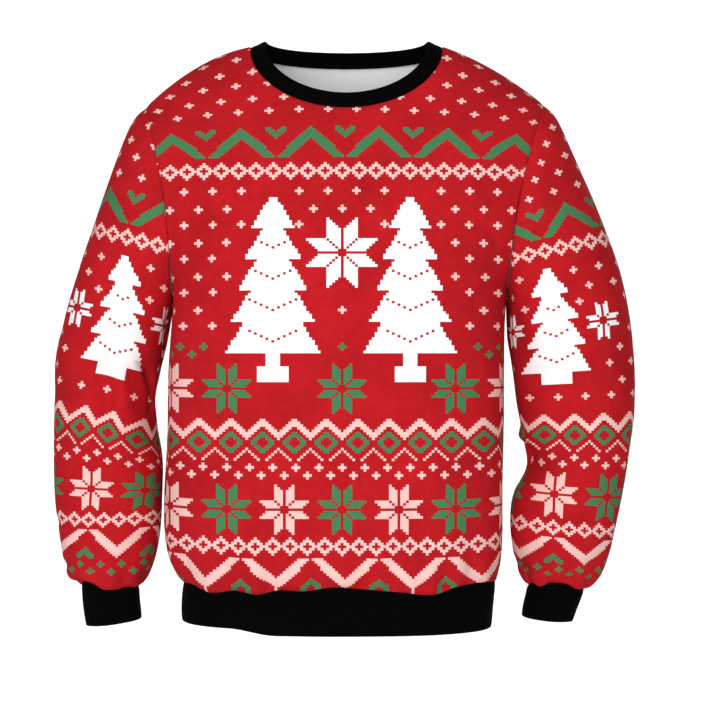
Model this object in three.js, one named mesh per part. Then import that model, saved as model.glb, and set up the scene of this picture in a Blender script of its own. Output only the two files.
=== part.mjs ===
// A crew-neck christmas sweater, filled out as if worn, with nobody in it.
// Millimetres, +Z up. The front faces -Y and +X is the wearer's left. The origin is
// level with the side neck points, in the middle of the neck, where shoulders carry it.
import * as THREE from 'three';

// Driving sizes
const bodyCloth = 2.0;
const bandCloth = 2.6;
const seamGap = 0.4;
const seamY = 4;
const bodyHemZ = -624;
const underarmZ = -292;
const neckHalfWidth = 112;
const neckCentreX = 3;
const neckFrontDrop = 80;
const neckBackDrop = 15;
const collarWidth = 19;
const shoulderRoll = 190;
const neckArch = 18;

// Grid counts: columns for half a panel, rows up the body, points round a sleeve
const neckColumns = 7;
const shoulderColumns = 8;
const lowerRows = 9;
const armholeRows = 11;
const cuffRows = 2;
const hemBandRows = 3;
const collarRows = 2;
// Rows crowd toward the hem and toward the shoulders, where the cloth curves most
const hemCrowding = 1.25;
const shoulderCrowding = 1.7;
// The share of a half panel's columns' places that ends on the neckline
const neckShare = 0.32;
// How quickly the hem wave fades up the body and down the band, how far folds keep off
// the side seams, how they taper, and how the sleeve eases out of the armhole's shape
const hemWaveFade = 6;
const bandWaveFade = 3;
const sideHold = 6;
const foldTaper = 0.7;
const armholeHold = 3;
const scoopEase = 1.5;
// The step over which the chest's slope is taken, and how far below the shoulder line
const slopeStep = 0.5;
const slopeMargin = 3;
// The way the collar stands: how far it leans in at the sides and at the middle, and
// how far it rises there
const collarStand = { sideLean: 0.87, middleLean: 0.42, sideRise: 0.5, middleRise: 0.91 };

// Body sections from the hem up to the underarm: half widths to the wearer's right and
// left, and how far the front and back stand off the side seams
const bodySections = [
  { z: -624, right: 188, left: 178, front: 120, back: 102 },
  { z: -614, right: 195, left: 180, front: 127, back: 107 },
  { z: -598, right: 202, left: 182.5, front: 132, back: 110 },
  { z: -568, right: 207.5, left: 184.5, front: 134, back: 110 },
  { z: -520, right: 208.5, left: 185, front: 134, back: 109 },
  { z: -450, right: 205.5, left: 185.5, front: 133, back: 108 },
  { z: -380, right: 203, left: 186, front: 132, back: 108 },
  { z: -330, right: 200, left: 186.5, front: 131, back: 109 },
  { z: -292, right: 198.2, left: 188.2, front: 129, back: 111 },
];
const sectionRoundness = 2.8;

// Above the underarm the chest's section is cut off by the armholes: these half widths
// are where its curve would close, so that it still faces forward at the seam
const chestSections = [
  { z: -330, right: 200, left: 190, front: 131, back: 109 },
  { z: -292, right: 198.2, left: 188.2, front: 129, back: 111 },
  { z: -270, right: 203, left: 193.5, front: 127, back: 113 },
  { z: -237, right: 218, left: 210, front: 124, back: 114 },
  { z: -181, right: 247, left: 240, front: 117, back: 112 },
  { z: -126, right: 298, left: 295, front: 108, back: 107 },
  { z: -71, right: 420, left: 420, front: 99, back: 102 },
  { z: 0, right: 420, left: 420, front: 92, back: 98 },
];

// Hem band: the seam, the middle and the lower edge
const hemSections = [
  { z: -624, right: 186, left: 175.5, front: 118, back: 100 },
  { z: -642, right: 187, left: 174, front: 119, back: 100 },
  { z: -672, right: 187, left: 171, front: 118, back: 98 },
];

// How far the body's lower edge rises above its mean height across the front and back,
// drawn up between the places where it hangs over the band
const frontHemWave = [
  { x: -188, lift: 3 },
  { x: -172, lift: 4 },
  { x: -150, lift: -3 },
  { x: -121, lift: 1 },
  { x: -97, lift: -3 },
  { x: -72, lift: 2.5 },
  { x: -45, lift: 1.5 },
  { x: -10, lift: 6 },
  { x: 20, lift: 4 },
  { x: 66, lift: 0 },
  { x: 100, lift: -3.5 },
  { x: 126, lift: 4 },
  { x: 150, lift: 7 },
  { x: 178, lift: 5 },
];
const backHemWave = [
  { x: -188, lift: 3 },
  { x: -140, lift: -3 },
  { x: -95, lift: 3.5 },
  { x: -50, lift: -2 },
  { x: 5, lift: 4 },
  { x: 48, lift: -3 },
  { x: 96, lift: 2 },
  { x: 138, lift: -2.5 },
  { x: 178, lift: 5 },
];
// The band's lower edge is drawn up at the wearer's right
const hemLift = { height: 7, startX: -75, endX: -130 };

// Each side: x runs outward from the middle of the garment, side is its sign, and rise
// is how far the shoulder seam arches above a straight line
const rightSide = {
  side: -1,
  shoulder: { x: 231, z: -71 },
  underarm: { x: 198.2, z: -292 },
  rise: 12,
};
const leftSide = {
  side: 1,
  shoulder: { x: 233, z: -68 },
  underarm: { x: 188.2, z: -292 },
  rise: 7.5,
};
const armholeScoop = 11;
const scoopFade = 3;

// Sleeve rings from the armhole to the cuff: the outer and inner edge seen from the
// front, the middle's depth and half the ring's depth. The first row is the armhole.
const rightSleeveRings = [
  { at: 0, outX: 231, outZ: -71, inX: 198.2, inZ: -292, y: 4, reach: 83 },
  { at: 1, outX: 245, outZ: -86, inX: 199.6, inZ: -300, y: 5, reach: 82 },
  { at: 2, outX: 259, outZ: -116, inX: 201.4, inZ: -309, y: 7, reach: 80 },
  { at: 3, outX: 278, outZ: -166, inX: 203.6, inZ: -322, y: 10, reach: 77 },
  { at: 4, outX: 293, outZ: -207, inX: 206.4, inZ: -337, y: 13, reach: 74 },
  { at: 5, outX: 309, outZ: -252, inX: 210.5, inZ: -356, y: 16, reach: 71 },
  { at: 6, outX: 326, outZ: -310, inX: 217, inZ: -384, y: 20, reach: 68 },
  { at: 7, outX: 336.5, outZ: -366, inX: 222, inZ: -412, y: 23, reach: 66 },
  { at: 8, outX: 340.5, outZ: -420, inX: 219, inZ: -441, y: 23, reach: 65 },
  { at: 9, outX: 340.5, outZ: -470, inX: 214, inZ: -475, y: 21, reach: 63 },
  { at: 10, outX: 339.5, outZ: -515, inX: 212.5, inZ: -515, y: 18, reach: 61 },
  { at: 11, outX: 336, outZ: -556, inX: 213.5, inZ: -553, y: 14, reach: 58 },
  { at: 12, outX: 331, outZ: -590, inX: 219.5, inZ: -588, y: 10, reach: 53 },
  { at: 13, outX: 322, outZ: -616, inX: 229, inZ: -613, y: 7, reach: 46 },
  { at: 14, outX: 305.5, outZ: -632, inX: 238, inZ: -629, y: 4, reach: 37 },
];
const leftSleeveRings = [
  { at: 0, outX: 233, outZ: -68, inX: 188.2, inZ: -292, y: 4, reach: 83 },
  { at: 1, outX: 247, outZ: -84, inX: 189.6, inZ: -301, y: 2, reach: 82 },
  { at: 2, outX: 264, outZ: -120, inX: 190.2, inZ: -312, y: 0, reach: 80 },
  { at: 3, outX: 288, outZ: -174, inX: 190.6, inZ: -326, y: -2, reach: 77 },
  { at: 4, outX: 304, outZ: -215, inX: 191.4, inZ: -342, y: -3, reach: 74 },
  { at: 5, outX: 321, outZ: -264, inX: 194.5, inZ: -362, y: -3, reach: 71 },
  { at: 6, outX: 333, outZ: -318, inX: 198, inZ: -388, y: -2, reach: 69 },
  { at: 7, outX: 339, outZ: -372, inX: 201, inZ: -414, y: -1, reach: 67 },
  { at: 8, outX: 339, outZ: -422, inX: 205.5, inZ: -444, y: 0, reach: 65 },
  { at: 9, outX: 333, outZ: -468, inX: 210.5, inZ: -484, y: 1, reach: 61 },
  { at: 10, outX: 326, outZ: -514, inX: 198, inZ: -518, y: 1, reach: 61 },
  { at: 11, outX: 318, outZ: -556, inX: 194.5, inZ: -547, y: 1, reach: 58 },
  { at: 12, outX: 310, outZ: -588, inX: 196.5, inZ: -580, y: 1, reach: 53 },
  { at: 13, outX: 300, outZ: -613, inX: 203.5, inZ: -608, y: 1, reach: 46 },
  { at: 14, outX: 284, outZ: -631, inX: 213.5, inZ: -627, y: 1, reach: 37 },
];

// Cuffs: both edges in the same terms as the sleeve rings
const rightCuffRings = [
  { at: 0, outX: 303.5, outZ: -632.8, inX: 239.5, inZ: -629.8, y: 4, reach: 35.5 },
  { at: 1, outX: 303.5, outZ: -654, inX: 239, inZ: -648, y: 3, reach: 36 },
  { at: 2, outX: 300.5, outZ: -674, inX: 236.5, inZ: -666, y: 2, reach: 34.5 },
];
const leftCuffRings = [
  { at: 0, outX: 280, outZ: -631.8, inX: 214.5, inZ: -627.8, y: 1, reach: 35.5 },
  { at: 1, outX: 272.5, outZ: -652, inX: 211, inZ: -646, y: 1, reach: 36 },
  { at: 2, outX: 266.5, outZ: -669, inX: 207.5, inZ: -663, y: 1, reach: 34.5 },
];

// Folds of the body: a soft ridge or trough between two heights. Depth is positive
// outward, x is where it starts and endX where it ends.
const frontFolds = [
  { x: -172, endX: -160, top: -150, bottom: -275, width: 14, depth: -4 },
  { x: -190, endX: -176, top: -300, bottom: -560, width: 20, depth: 3 },
  { x: 174, endX: 168, top: -190, bottom: -330, width: 15, depth: -4 },
  { x: 62, endX: 70, top: -330, bottom: -480, width: 16, depth: -3 },
  { x: -22, endX: -8, top: -440, bottom: -610, width: 20, depth: -3 },
  { x: 120, endX: 112, top: -500, bottom: -615, width: 20, depth: 4 },
  { x: -110, endX: -96, top: -520, bottom: -615, width: 22, depth: 4 },
];
const backFolds = [
  { x: -168, endX: -140, top: -160, bottom: -320, width: 18, depth: -5 },
  { x: 166, endX: 138, top: -160, bottom: -320, width: 18, depth: -5 },
  { x: -60, endX: -48, top: -360, bottom: -590, width: 24, depth: 4 },
  { x: 42, endX: 58, top: -400, bottom: -610, width: 24, depth: -4 },
  { x: 118, endX: 128, top: -430, bottom: -612, width: 20, depth: 4 },
  { x: -130, endX: -118, top: -470, bottom: -612, width: 22, depth: -4 },
];

// Folds of the sleeves: centred on an angle round the ring (0 outside, 90 the front,
// 180 toward the body) and a ring number, with their half sizes and slant
const rightSleeveFolds = [
  { angle: 95, ring: 7.2, wide: 16, long: 2.2, slant: 9, depth: -4 },
  { angle: 150, ring: 8.6, wide: 40, long: 0.7, slant: -5, depth: -5 },
  { angle: 60, ring: 11.6, wide: 50, long: 0.8, slant: 0, depth: -4 },
  { angle: 262, ring: 7.6, wide: 46, long: 0.7, slant: 8, depth: -5 },
  { angle: 250, ring: 10.2, wide: 52, long: 0.8, slant: -7, depth: -4 },
];
const leftSleeveFolds = [
  { angle: 158, ring: 9.1, wide: 44, long: 0.55, slant: 6, depth: -6 },
  { angle: 100, ring: 8.3, wide: 40, long: 0.6, slant: -6, depth: -4 },
  { angle: 80, ring: 11.5, wide: 52, long: 0.8, slant: 4, depth: -4 },
  { angle: 255, ring: 7.4, wide: 46, long: 0.7, slant: -8, depth: -5 },
  { angle: 265, ring: 10.4, wide: 50, long: 0.8, slant: 6, depth: -4 },
];

const redCloth = new THREE.MeshStandardMaterial({ color: 0xc81e28, roughness: 0.9, metalness: 0 });
const blackRib = new THREE.MeshStandardMaterial({ color: 0x0a0a0b, roughness: 0.95, metalness: 0 });

const vec = (x, y, z) => new THREE.Vector3(x, y, z);
const mix = THREE.MathUtils.lerp;
const { clamp, smoothstep, radToDeg, euclideanModulo } = THREE.MathUtils;

// A value from a table whose rows rise in their key column, on a smooth curve
function readTable(table, key, column, at) {
  let row = 0;
  while (row < table.length - 2 && at > table[row + 1][key]) {
    row += 1;
  }
  const here = table[row];
  const next = table[row + 1];
  const before = table[Math.max(row - 1, 0)];
  const after = table[Math.min(row + 2, table.length - 1)];
  const span = next[key] - here[key];
  const slopeHere = (next[column] - before[column]) / (next[key] - before[key]);
  const slopeNext = (after[column] - here[column]) / (after[key] - here[key]);
  const t = clamp((at - here[key]) / span, 0, 1);
  const t2 = t * t;
  const t3 = t2 * t;
  return (2 * t3 - 3 * t2 + 1) * here[column]
    + (t3 - 2 * t2 + t) * span * slopeHere
    + (3 * t2 - 2 * t3) * next[column]
    + (t3 - t2) * span * slopeNext;
}

// A point on half a body section: across runs from -1 at the wearer's right side seam
// to 1 at the left one, and facing is -1 on the front and 1 on the back
function sectionPoint(table, across, z, facing) {
  const angle = Math.abs(across) * Math.PI / 2;
  const power = 2 / sectionRoundness;
  const width = readTable(table, 'z', across < 0 ? 'right' : 'left', z);
  const depth = readTable(table, 'z', facing < 0 ? 'front' : 'back', z);
  const x = Math.sign(across) * width * Math.sin(angle) ** power;
  const y = seamY + facing * depth * Math.max(Math.cos(angle), 0) ** power;
  return vec(x, y, z);
}

// The seam of body and hem band rises and falls a little round the garment
function hemWave(x, facing) {
  return readTable(facing < 0 ? frontHemWave : backHemWave, 'x', 'lift', x);
}

// How far across from the middle the armhole lies at a share of its height
function armholeX(edge, up) {
  const scoop = 4 * armholeScoop * up * (1 - up);
  return mix(edge.underarm.x, edge.shoulder.x, up) - scoop;
}

// The height of the shoulder line, which arches on over the neck
function shoulderLine(x) {
  const edge = x < neckCentreX ? rightSide : leftSide;
  const neckX = neckHalfWidth + edge.side * neckCentreX;
  const along = (edge.side * x - neckX) / (edge.shoulder.x - neckX);
  if (along < 0) {
    return neckArch * (1 - ((x - neckCentreX) / neckHalfWidth) ** 2);
  }
  return edge.shoulder.z * along + 4 * edge.rise * along * (1 - along);
}

// How far the chest or back stands off the shoulder and side seams at a place seen
// from the front
function chestDepth(x, z, facing) {
  const width = readTable(chestSections, 'z', x < 0 ? 'right' : 'left', z);
  const depth = readTable(chestSections, 'z', facing < 0 ? 'front' : 'back', z);
  const share = Math.min(Math.abs(x) / width, 1);
  const round = (1 - share ** sectionRoundness) ** (1 / sectionRoundness);
  const below = clamp((shoulderLine(x) - z) / shoulderRoll, 0, 1);
  return depth * round * Math.sqrt(1 - (1 - below) ** 2);
}

function chestPoint(x, z, facing) {
  return vec(x, seamY + facing * chestDepth(x, z, facing), z);
}

// The way the chest or back faces there
function chestNormal(x, z, facing) {
  const step = slopeStep;
  const low = Math.min(z, shoulderLine(x) - slopeMargin);
  const sideways = chestDepth(x + step, low, facing) - chestDepth(x - step, low, facing);
  const upward = chestDepth(x, low + step, facing) - chestDepth(x, low - step, facing);
  return vec(-sideways / (2 * step), facing, -upward / (2 * step)).normalize();
}

// The neck seam: turn runs from 0 at the middle to 1 at the side neck point
function neckPoint(turn, facing) {
  const angle = turn * Math.PI / 2;
  const drop = facing < 0 ? neckFrontDrop : neckBackDrop;
  const x = neckCentreX + neckHalfWidth * Math.sin(angle);
  return chestPoint(x, -drop * Math.cos(angle), facing);
}

// The armhole of one side: turn runs from 0 at the underarm to 1 at the shoulder
function armholePoint(edge, turn, facing) {
  const up = (1 - Math.cos(turn * Math.PI)) / 2;
  const z = mix(edge.underarm.z, edge.shoulder.z, up);
  return chestPoint(edge.side * armholeX(edge, up), z, facing);
}

// Columns across a panel, from the wearer's right to the left
const halfColumns = neckColumns + shoulderColumns;
const columnPlaces = [];
for (let column = -halfColumns; column <= halfColumns; column += 1) {
  const steps = Math.abs(column);
  const onNeck = steps <= neckColumns;
  const place = onNeck
    ? neckShare * steps / neckColumns
    : neckShare + (1 - neckShare) * (steps - neckColumns) / shoulderColumns;
  columnPlaces.push(Math.sign(column) * place);
}

// The top edge of a panel at one column, seen from the front
function topEdge(across, facing) {
  const size = Math.abs(across);
  if (size <= neckShare) {
    const seam = neckPoint(across / neckShare, facing);
    return { x: seam.x, z: seam.z };
  }
  const along = (size - neckShare) / (1 - neckShare);
  const edge = across < 0 ? rightSide : leftSide;
  const x = mix(neckCentreX + Math.sign(across) * neckHalfWidth, edge.side * edge.shoulder.x, along);
  return { x, z: along === 1 ? edge.shoulder.z : shoulderLine(x) };
}

function foldDepth(folds, x, z) {
  let depth = 0;
  for (const fold of folds) {
    const t = (fold.top - z) / (fold.top - fold.bottom);
    if (t > 0 && t < 1) {
      const centre = mix(fold.x, fold.endX, t);
      const off = (x - centre) / fold.width;
      depth += fold.depth * Math.sin(Math.PI * t) ** foldTaper * Math.exp(-off * off);
    }
  }
  return depth;
}

// The outer surface of the front or back panel as rows of points, bottom row first
function panelSurface(facing) {
  const folds = facing < 0 ? frontFolds : backFolds;
  const rows = [];
  for (let row = 0; row < lowerRows; row += 1) {
    const t = row / lowerRows;
    const z = mix(bodyHemZ, underarmZ, t ** hemCrowding);
    rows.push(columnPlaces.map((across) => {
      const point = sectionPoint(bodySections, across, z, facing);
      point.z += hemWave(point.x, facing) * (1 - t) ** hemWaveFade;
      return point;
    }));
  }
  for (let row = 0; row <= armholeRows; row += 1) {
    const t = row / armholeRows;
    const seamUp = (1 - Math.cos(t * Math.PI)) / 2;
    rows.push(columnPlaces.map((across) => {
      const size = Math.abs(across);
      const edge = across < 0 ? rightSide : leftSide;
      const top = topEdge(across, facing);
      const up = mix(1 - (1 - t) ** shoulderCrowding, seamUp, size ** armholeHold);
      const spread = Math.sin(size * Math.PI / 2) ** (2 / sectionRoundness);
      const sideX = edge.side * spread * armholeX(edge, up);
      const topShift = top.x - edge.side * spread * edge.shoulder.x;
      return chestPoint(sideX + topShift * up ** 2, mix(underarmZ, top.z, up), facing);
    }));
  }
  for (const line of rows) {
    line.forEach((point, column) => {
      const free = 1 - Math.abs(columnPlaces[column]) ** sideHold;
      const out = facing * (point.y - seamY) + free * foldDepth(folds, point.x, point.z);
      point.y = seamY + facing * Math.max(out, seamGap / 2);
    });
  }
  return rows;
}

// The neckline draws back a little, so that the collar clears it
function trimNeckline(rows) {
  const top = rows.length - 1;
  for (let column = 0; column < columnPlaces.length; column += 1) {
    const across = Math.abs(columnPlaces[column]);
    if (across <= neckShare) {
      const step = rows[top][column].clone().sub(rows[top - 1][column]).normalize();
      rows[top][column].addScaledVector(step, -seamGap);
    }
  }
}

// Normals of a grid of points, from the neighbours of each point
function gridNormals(rows, closed) {
  return rows.map((line, row) => line.map((point, column) => {
    const count = line.length;
    const up = rows[Math.min(row + 1, rows.length - 1)][column];
    const down = rows[Math.max(row - 1, 0)][column];
    const next = closed ? line[(column + 1) % count] : line[Math.min(column + 1, count - 1)];
    const last = closed ? line[(column + count - 1) % count] : line[Math.max(column - 1, 0)];
    const across = next.clone().sub(last);
    const along = up.clone().sub(down);
    return across.cross(along).normalize();
  }));
}

// A closed wall between an outer and an inner grid. Rows rise and columns run so that
// across times along points outward. A closed grid runs all the way round.
function wallMesh(name, outer, inner, closed, material) {
  const rowCount = outer.length;
  const columnCount = outer[0].length;
  const points = [...outer.flat(), ...inner.flat()];
  const shift = rowCount * columnCount;
  const outside = (row, column) => row * columnCount + column % columnCount;
  const inside = (row, column) => shift + outside(row, column);
  const faces = [];
  const quad = (a, b, c, d) => faces.push(a, b, c, a, c, d);
  const spans = closed ? columnCount : columnCount - 1;
  for (let row = 0; row < rowCount - 1; row += 1) {
    for (let column = 0; column < spans; column += 1) {
      quad(outside(row, column), outside(row, column + 1),
        outside(row + 1, column + 1), outside(row + 1, column));
      quad(inside(row, column), inside(row + 1, column),
        inside(row + 1, column + 1), inside(row, column + 1));
    }
  }
  const top = rowCount - 1;
  for (let column = 0; column < spans; column += 1) {
    quad(outside(0, column), inside(0, column), inside(0, column + 1), outside(0, column + 1));
    quad(outside(top, column), outside(top, column + 1), inside(top, column + 1), inside(top, column));
  }
  if (!closed) {
    const end = columnCount - 1;
    for (let row = 0; row < top; row += 1) {
      quad(outside(row, 0), outside(row + 1, 0), inside(row + 1, 0), inside(row, 0));
      quad(outside(row, end), inside(row, end), inside(row + 1, end), outside(row + 1, end));
    }
  }
  const geometry = new THREE.BufferGeometry().setFromPoints(points);
  geometry.setIndex(faces);
  geometry.computeVertexNormals();
  const mesh = new THREE.Mesh(geometry, material);
  mesh.name = name;
  return mesh;
}

// Front and back: the wall's thickness goes inward. At the side and shoulder seams it
// goes straight in, so that the two panels' edges stay parallel.
function makePanel(name, facing) {
  const outer = panelSurface(facing);
  if (facing > 0) {
    outer.forEach((line) => line.reverse());
  }
  trimNeckline(outer);
  const normals = gridNormals(outer, false);
  const top = outer.length - 1;
  const end = outer[0].length - 1;
  const inner = outer.map((line, row) => line.map((point, column) => {
    const normal = normals[row][column];
    const place = Math.abs(columnPlaces[column]);
    const onSide = (column === 0 || column === end) && row <= lowerRows;
    const onShoulder = row === top && place >= neckShare;
    if (row === top && place < neckShare) {
      normal.copy(chestNormal(point.x, point.z, facing));
    }
    if (onSide || onShoulder) {
      normal.y = 0;
    }
    if (row === 0) {
      normal.z = 0;
    }
    normal.normalize();
    return point.clone().addScaledVector(normal, -bodyCloth);
  }));
  return wallMesh(name, outer, inner, false, redCloth);
}

// A ring of a sleeve or cuff: angle 0 is its outer edge, 90 degrees the front and 180
// the edge toward the body
function ringPoint(table, edge, at, angle) {
  const value = (column) => readTable(table, 'at', column, at);
  const up = (1 + Math.cos(angle)) / 2;
  const x = edge.side * mix(value('inX'), value('outX'), up);
  return vec(x, value('y') - value('reach') * Math.sin(angle), mix(value('inZ'), value('outZ'), up));
}

// Near the armhole a sleeve takes the armhole's own shape
function sleevePoint(table, edge, at, angle) {
  const point = ringPoint(table, edge, at, angle);
  const share = Math.max(1 - at / scoopFade, 0) ** scoopEase;
  if (share > 0) {
    const front = Math.sin(angle) >= 0;
    const turn = front ? 1 - angle / Math.PI : angle / Math.PI - 1;
    const seam = armholePoint(edge, turn, front ? -1 : 1);
    point.addScaledVector(seam.sub(ringPoint(table, edge, 0, angle)), share);
  }
  return point;
}

function sleeveFold(folds, angle, at) {
  let depth = 0;
  for (const fold of folds) {
    let off = euclideanModulo(angle - fold.angle + 180, 360) - 180;
    const along = (at - fold.ring - off / 90 * fold.slant / 10) / fold.long;
    off /= fold.wide;
    depth += fold.depth * Math.exp(-off * off - along * along);
  }
  return depth;
}

const ringColumns = 2 * armholeRows;
const sleeveStops = [0, 0.5, 1, 1.6, 2.3, 3, 4, 5, 6, 7, 8, 8.6, 9.2, 10, 11, 12, 12.8, 13.5, 14];

// A sleeve's rows run from the cuff up to the armhole
function makeSleeve(name, edge, table, folds) {
  const outer = [];
  const stops = [...sleeveStops].reverse();
  for (const at of stops) {
    const line = [];
    for (let column = 0; column < ringColumns; column += 1) {
      const angle = 2 * Math.PI * column / ringColumns;
      const point = sleevePoint(table, edge, at, angle);
      const centre = ringPoint(table, edge, at, 0).add(ringPoint(table, edge, at, Math.PI));
      centre.multiplyScalar(0.5);
      const away = point.clone().sub(centre).normalize();
      const degrees = radToDeg(angle);
      point.addScaledVector(away, sleeveFold(folds, degrees, at));
      line.push(point);
    }
    outer.push(line);
  }
  const top = outer.length - 1;
  const lean = (edge.shoulder.x - edge.underarm.x) / (edge.shoulder.z - edge.underarm.z);
  const outward = vec(edge.side, 0, -lean).normalize();
  outer[top].forEach((point) => point.addScaledVector(outward, seamGap));
  if (edge.side > 0) {
    outer.forEach((line) => line.reverse());
  }
  const normals = gridNormals(outer, true);
  const inner = outer.map((line, row) => line.map((point, column) => {
    const inward = normals[row][column].clone().negate();
    if (row === top) {
      const back = Math.min(inward.dot(outward), 0);
      inward.addScaledVector(outward, -back).normalize();
    }
    if (row === 0) {
      inward.z = 0;
      inward.normalize();
    }
    return point.clone().addScaledVector(inward, bodyCloth);
  }));
  return wallMesh(name, outer, inner, true, redCloth);
}

function bandWall(name, outer, normals = gridNormals(outer, true)) {
  const inner = outer.map((line, row) => line.map((point, column) => (
    point.clone().addScaledVector(normals[row][column], -bandCloth)
  )));
  return wallMesh(name, outer, inner, true, blackRib);
}

function makeCuff(name, edge, table) {
  const outer = [];
  for (let row = cuffRows; row >= 0; row -= 1) {
    const line = [];
    for (let column = 0; column < ringColumns; column += 1) {
      const angle = 2 * Math.PI * column / ringColumns;
      line.push(ringPoint(table, edge, table.at(-1).at * row / cuffRows, angle));
    }
    outer.push(line);
  }
  if (edge.side > 0) {
    outer.forEach((line) => line.reverse());
  }
  return bandWall(name, outer);
}

// The hem band: its upper edge follows the wave of the body's lower edge
function makeHemBand() {
  const table = [...hemSections].reverse();
  const outer = [];
  for (let row = 0; row <= hemBandRows; row += 1) {
    const t = row / hemBandRows;
    const z = mix(table[0].z, bodyHemZ, t);
    const half = (facing) => columnPlaces.map((across) => {
      const point = sectionPoint(table, across, z, facing);
      const drawn = smoothstep(-point.x, -hemLift.startX, -hemLift.endX);
      point.z += (1 - t) * hemLift.height * drawn + t ** bandWaveFade * hemWave(point.x, facing) - t * seamGap;
      return point;
    });
    outer.push([...half(-1), ...half(1).reverse().slice(1, -1)]);
  }
  return bandWall('hem_band', outer);
}

// The collar leaves the neck seam in line with the body and then stands up
function makeCollar() {
  const seams = [];
  for (let step = -neckColumns; step < neckColumns; step += 1) {
    seams.push({ turn: step / neckColumns, facing: -1 });
  }
  for (let step = neckColumns; step > -neckColumns; step -= 1) {
    seams.push({ turn: step / neckColumns, facing: 1 });
  }
  const points = seams.map(({ turn, facing }) => neckPoint(turn, facing));
  const faces = seams.map(({ turn, facing }, place) => {
    const normal = chestNormal(points[place].x, points[place].z, facing);
    if (Math.abs(turn) === 1) {
      normal.y = 0;
    }
    return normal.normalize();
  });
  const leaving = points.map((point, place) => {
    const next = points[(place + 1) % points.length];
    const last = points[(place + points.length - 1) % points.length];
    return faces[place].clone().cross(next.clone().sub(last)).normalize();
  });
  const outer = [];
  for (let row = 0; row <= collarRows; row += 1) {
    const share = row / collarRows;
    outer.push(seams.map(({ turn, facing }, place) => {
      const angle = turn * Math.PI / 2;
      const front = Math.cos(angle);
      const lean = -collarStand.sideLean * Math.sin(angle);
      const rise = mix(collarStand.sideRise, collarStand.middleRise, front);
      const standing = vec(lean, -facing * collarStand.middleLean * front, rise);
      const heading = leaving[place].clone().lerp(standing.normalize(), share).normalize();
      return points[place].clone().addScaledVector(heading, mix(seamGap, collarWidth, share));
    }));
  }
  const normals = gridNormals(outer, true);
  normals[0] = faces;
  return bandWall('collar', outer, normals);
}

const sweater = new THREE.Group();
sweater.add(makePanel('front', -1));
sweater.add(makePanel('back', 1));
sweater.add(makeSleeve('sleeve_right', rightSide, rightSleeveRings, rightSleeveFolds));
sweater.add(makeSleeve('sleeve_left', leftSide, leftSleeveRings, leftSleeveFolds));
sweater.add(makeCuff('cuff_right', rightSide, rightCuffRings));
sweater.add(makeCuff('cuff_left', leftSide, leftCuffRings));
sweater.add(makeHemBand());
sweater.add(makeCollar());

export default sweater;
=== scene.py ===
import math
import bpy
import numpy as np
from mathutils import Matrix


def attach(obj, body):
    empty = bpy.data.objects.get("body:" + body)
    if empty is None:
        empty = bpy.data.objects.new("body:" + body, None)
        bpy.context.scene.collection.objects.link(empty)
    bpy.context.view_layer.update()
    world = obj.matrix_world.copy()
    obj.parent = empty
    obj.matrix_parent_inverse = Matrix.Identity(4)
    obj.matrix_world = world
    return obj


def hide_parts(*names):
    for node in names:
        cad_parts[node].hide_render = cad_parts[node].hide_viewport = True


# Christmas sweater: eight cut pieces of cloth, each a thin shell on its solid's form.
# Sizes are millimetres until a mesh is made; +Z is up, the front faces -Y.

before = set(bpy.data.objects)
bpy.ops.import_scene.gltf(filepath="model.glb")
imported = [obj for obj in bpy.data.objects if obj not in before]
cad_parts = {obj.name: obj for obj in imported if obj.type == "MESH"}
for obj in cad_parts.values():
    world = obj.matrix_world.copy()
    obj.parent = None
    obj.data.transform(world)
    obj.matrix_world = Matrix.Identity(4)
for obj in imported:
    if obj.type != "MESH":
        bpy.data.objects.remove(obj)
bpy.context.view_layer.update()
print("frame loaded:", len(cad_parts), "nodes")

metre = 0.001  # one millimetre in Blender's metres

# what the whole cut shares
cut = {
    "cloth": 2.0,  # thickness of the jersey wall
    "band": 2.6,  # the bands are doubled
    "seamGap": 0.4,
    "seamY": 4,  # the side and shoulder seams lie in this plane
    "hemZ": -624,
    "underarmZ": -292,
    "roundness": 2.8,  # of the body's sections
    "scoop": 11,  # how far the armhole curves in
    "roll": 190,  # how far down the shoulder rolls forward
}
neck = {"half": 112, "x": 3, "front": 80, "back": 15, "arch": 18, "share": 0.32}
rightSide = {"side": -1, "shoulder": (231, -71), "underarm": (198.2, -292), "rise": 12}
leftSide = {"side": 1, "shoulder": (233, -68), "underarm": (188.2, -292), "rise": 7.5}

# half widths to the wearer's right and left and half depths to front and back, by height
bodySections = {
    "z": [-624, -614, -598, -568, -520, -450, -380, -330, -292],
    "right": [188, 195, 202, 207.5, 208.5, 205.5, 203, 200, 198.2],
    "left": [178, 180, 182.5, 184.5, 185, 185.5, 186, 186.5, 188.2],
    "front": [120, 127, 132, 134, 134, 133, 132, 131, 129],
    "back": [102, 107, 110, 110, 109, 108, 108, 109, 111],
}
chestSections = {
    "z": [-330, -292, -270, -237, -181, -126, -71, 0],
    "right": [200, 198.2, 203, 218, 247, 298, 420, 420],
    "left": [190, 188.2, 193.5, 210, 240, 295, 420, 420],
    "front": [131, 129, 127, 124, 117, 108, 99, 92],
    "back": [109, 111, 113, 114, 112, 107, 102, 98],
}
hemSections = {
    "z": [-672, -642, -624],
    "right": [187, 187, 186],
    "left": [171, 174, 175.5],
    "front": [118, 119, 118],
    "back": [98, 100, 100],
}
frontHemWave = {
    "x": [-188, -172, -150, -121, -97, -72, -45, -10, 20, 66, 100, 126, 150, 178],
    "lift": [3, 4, -3, 1, -3, 2.5, 1.5, 6, 4, 0, -3.5, 4, 7, 5],
}
backHemWave = {
    "x": [-188, -140, -95, -50, 5, 48, 96, 138, 178],
    "lift": [3, -3, 3.5, -2, 4, -3, 2, -2.5, 5],
}
hemLift = {"height": 7, "start": 75, "end": 130}

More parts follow.
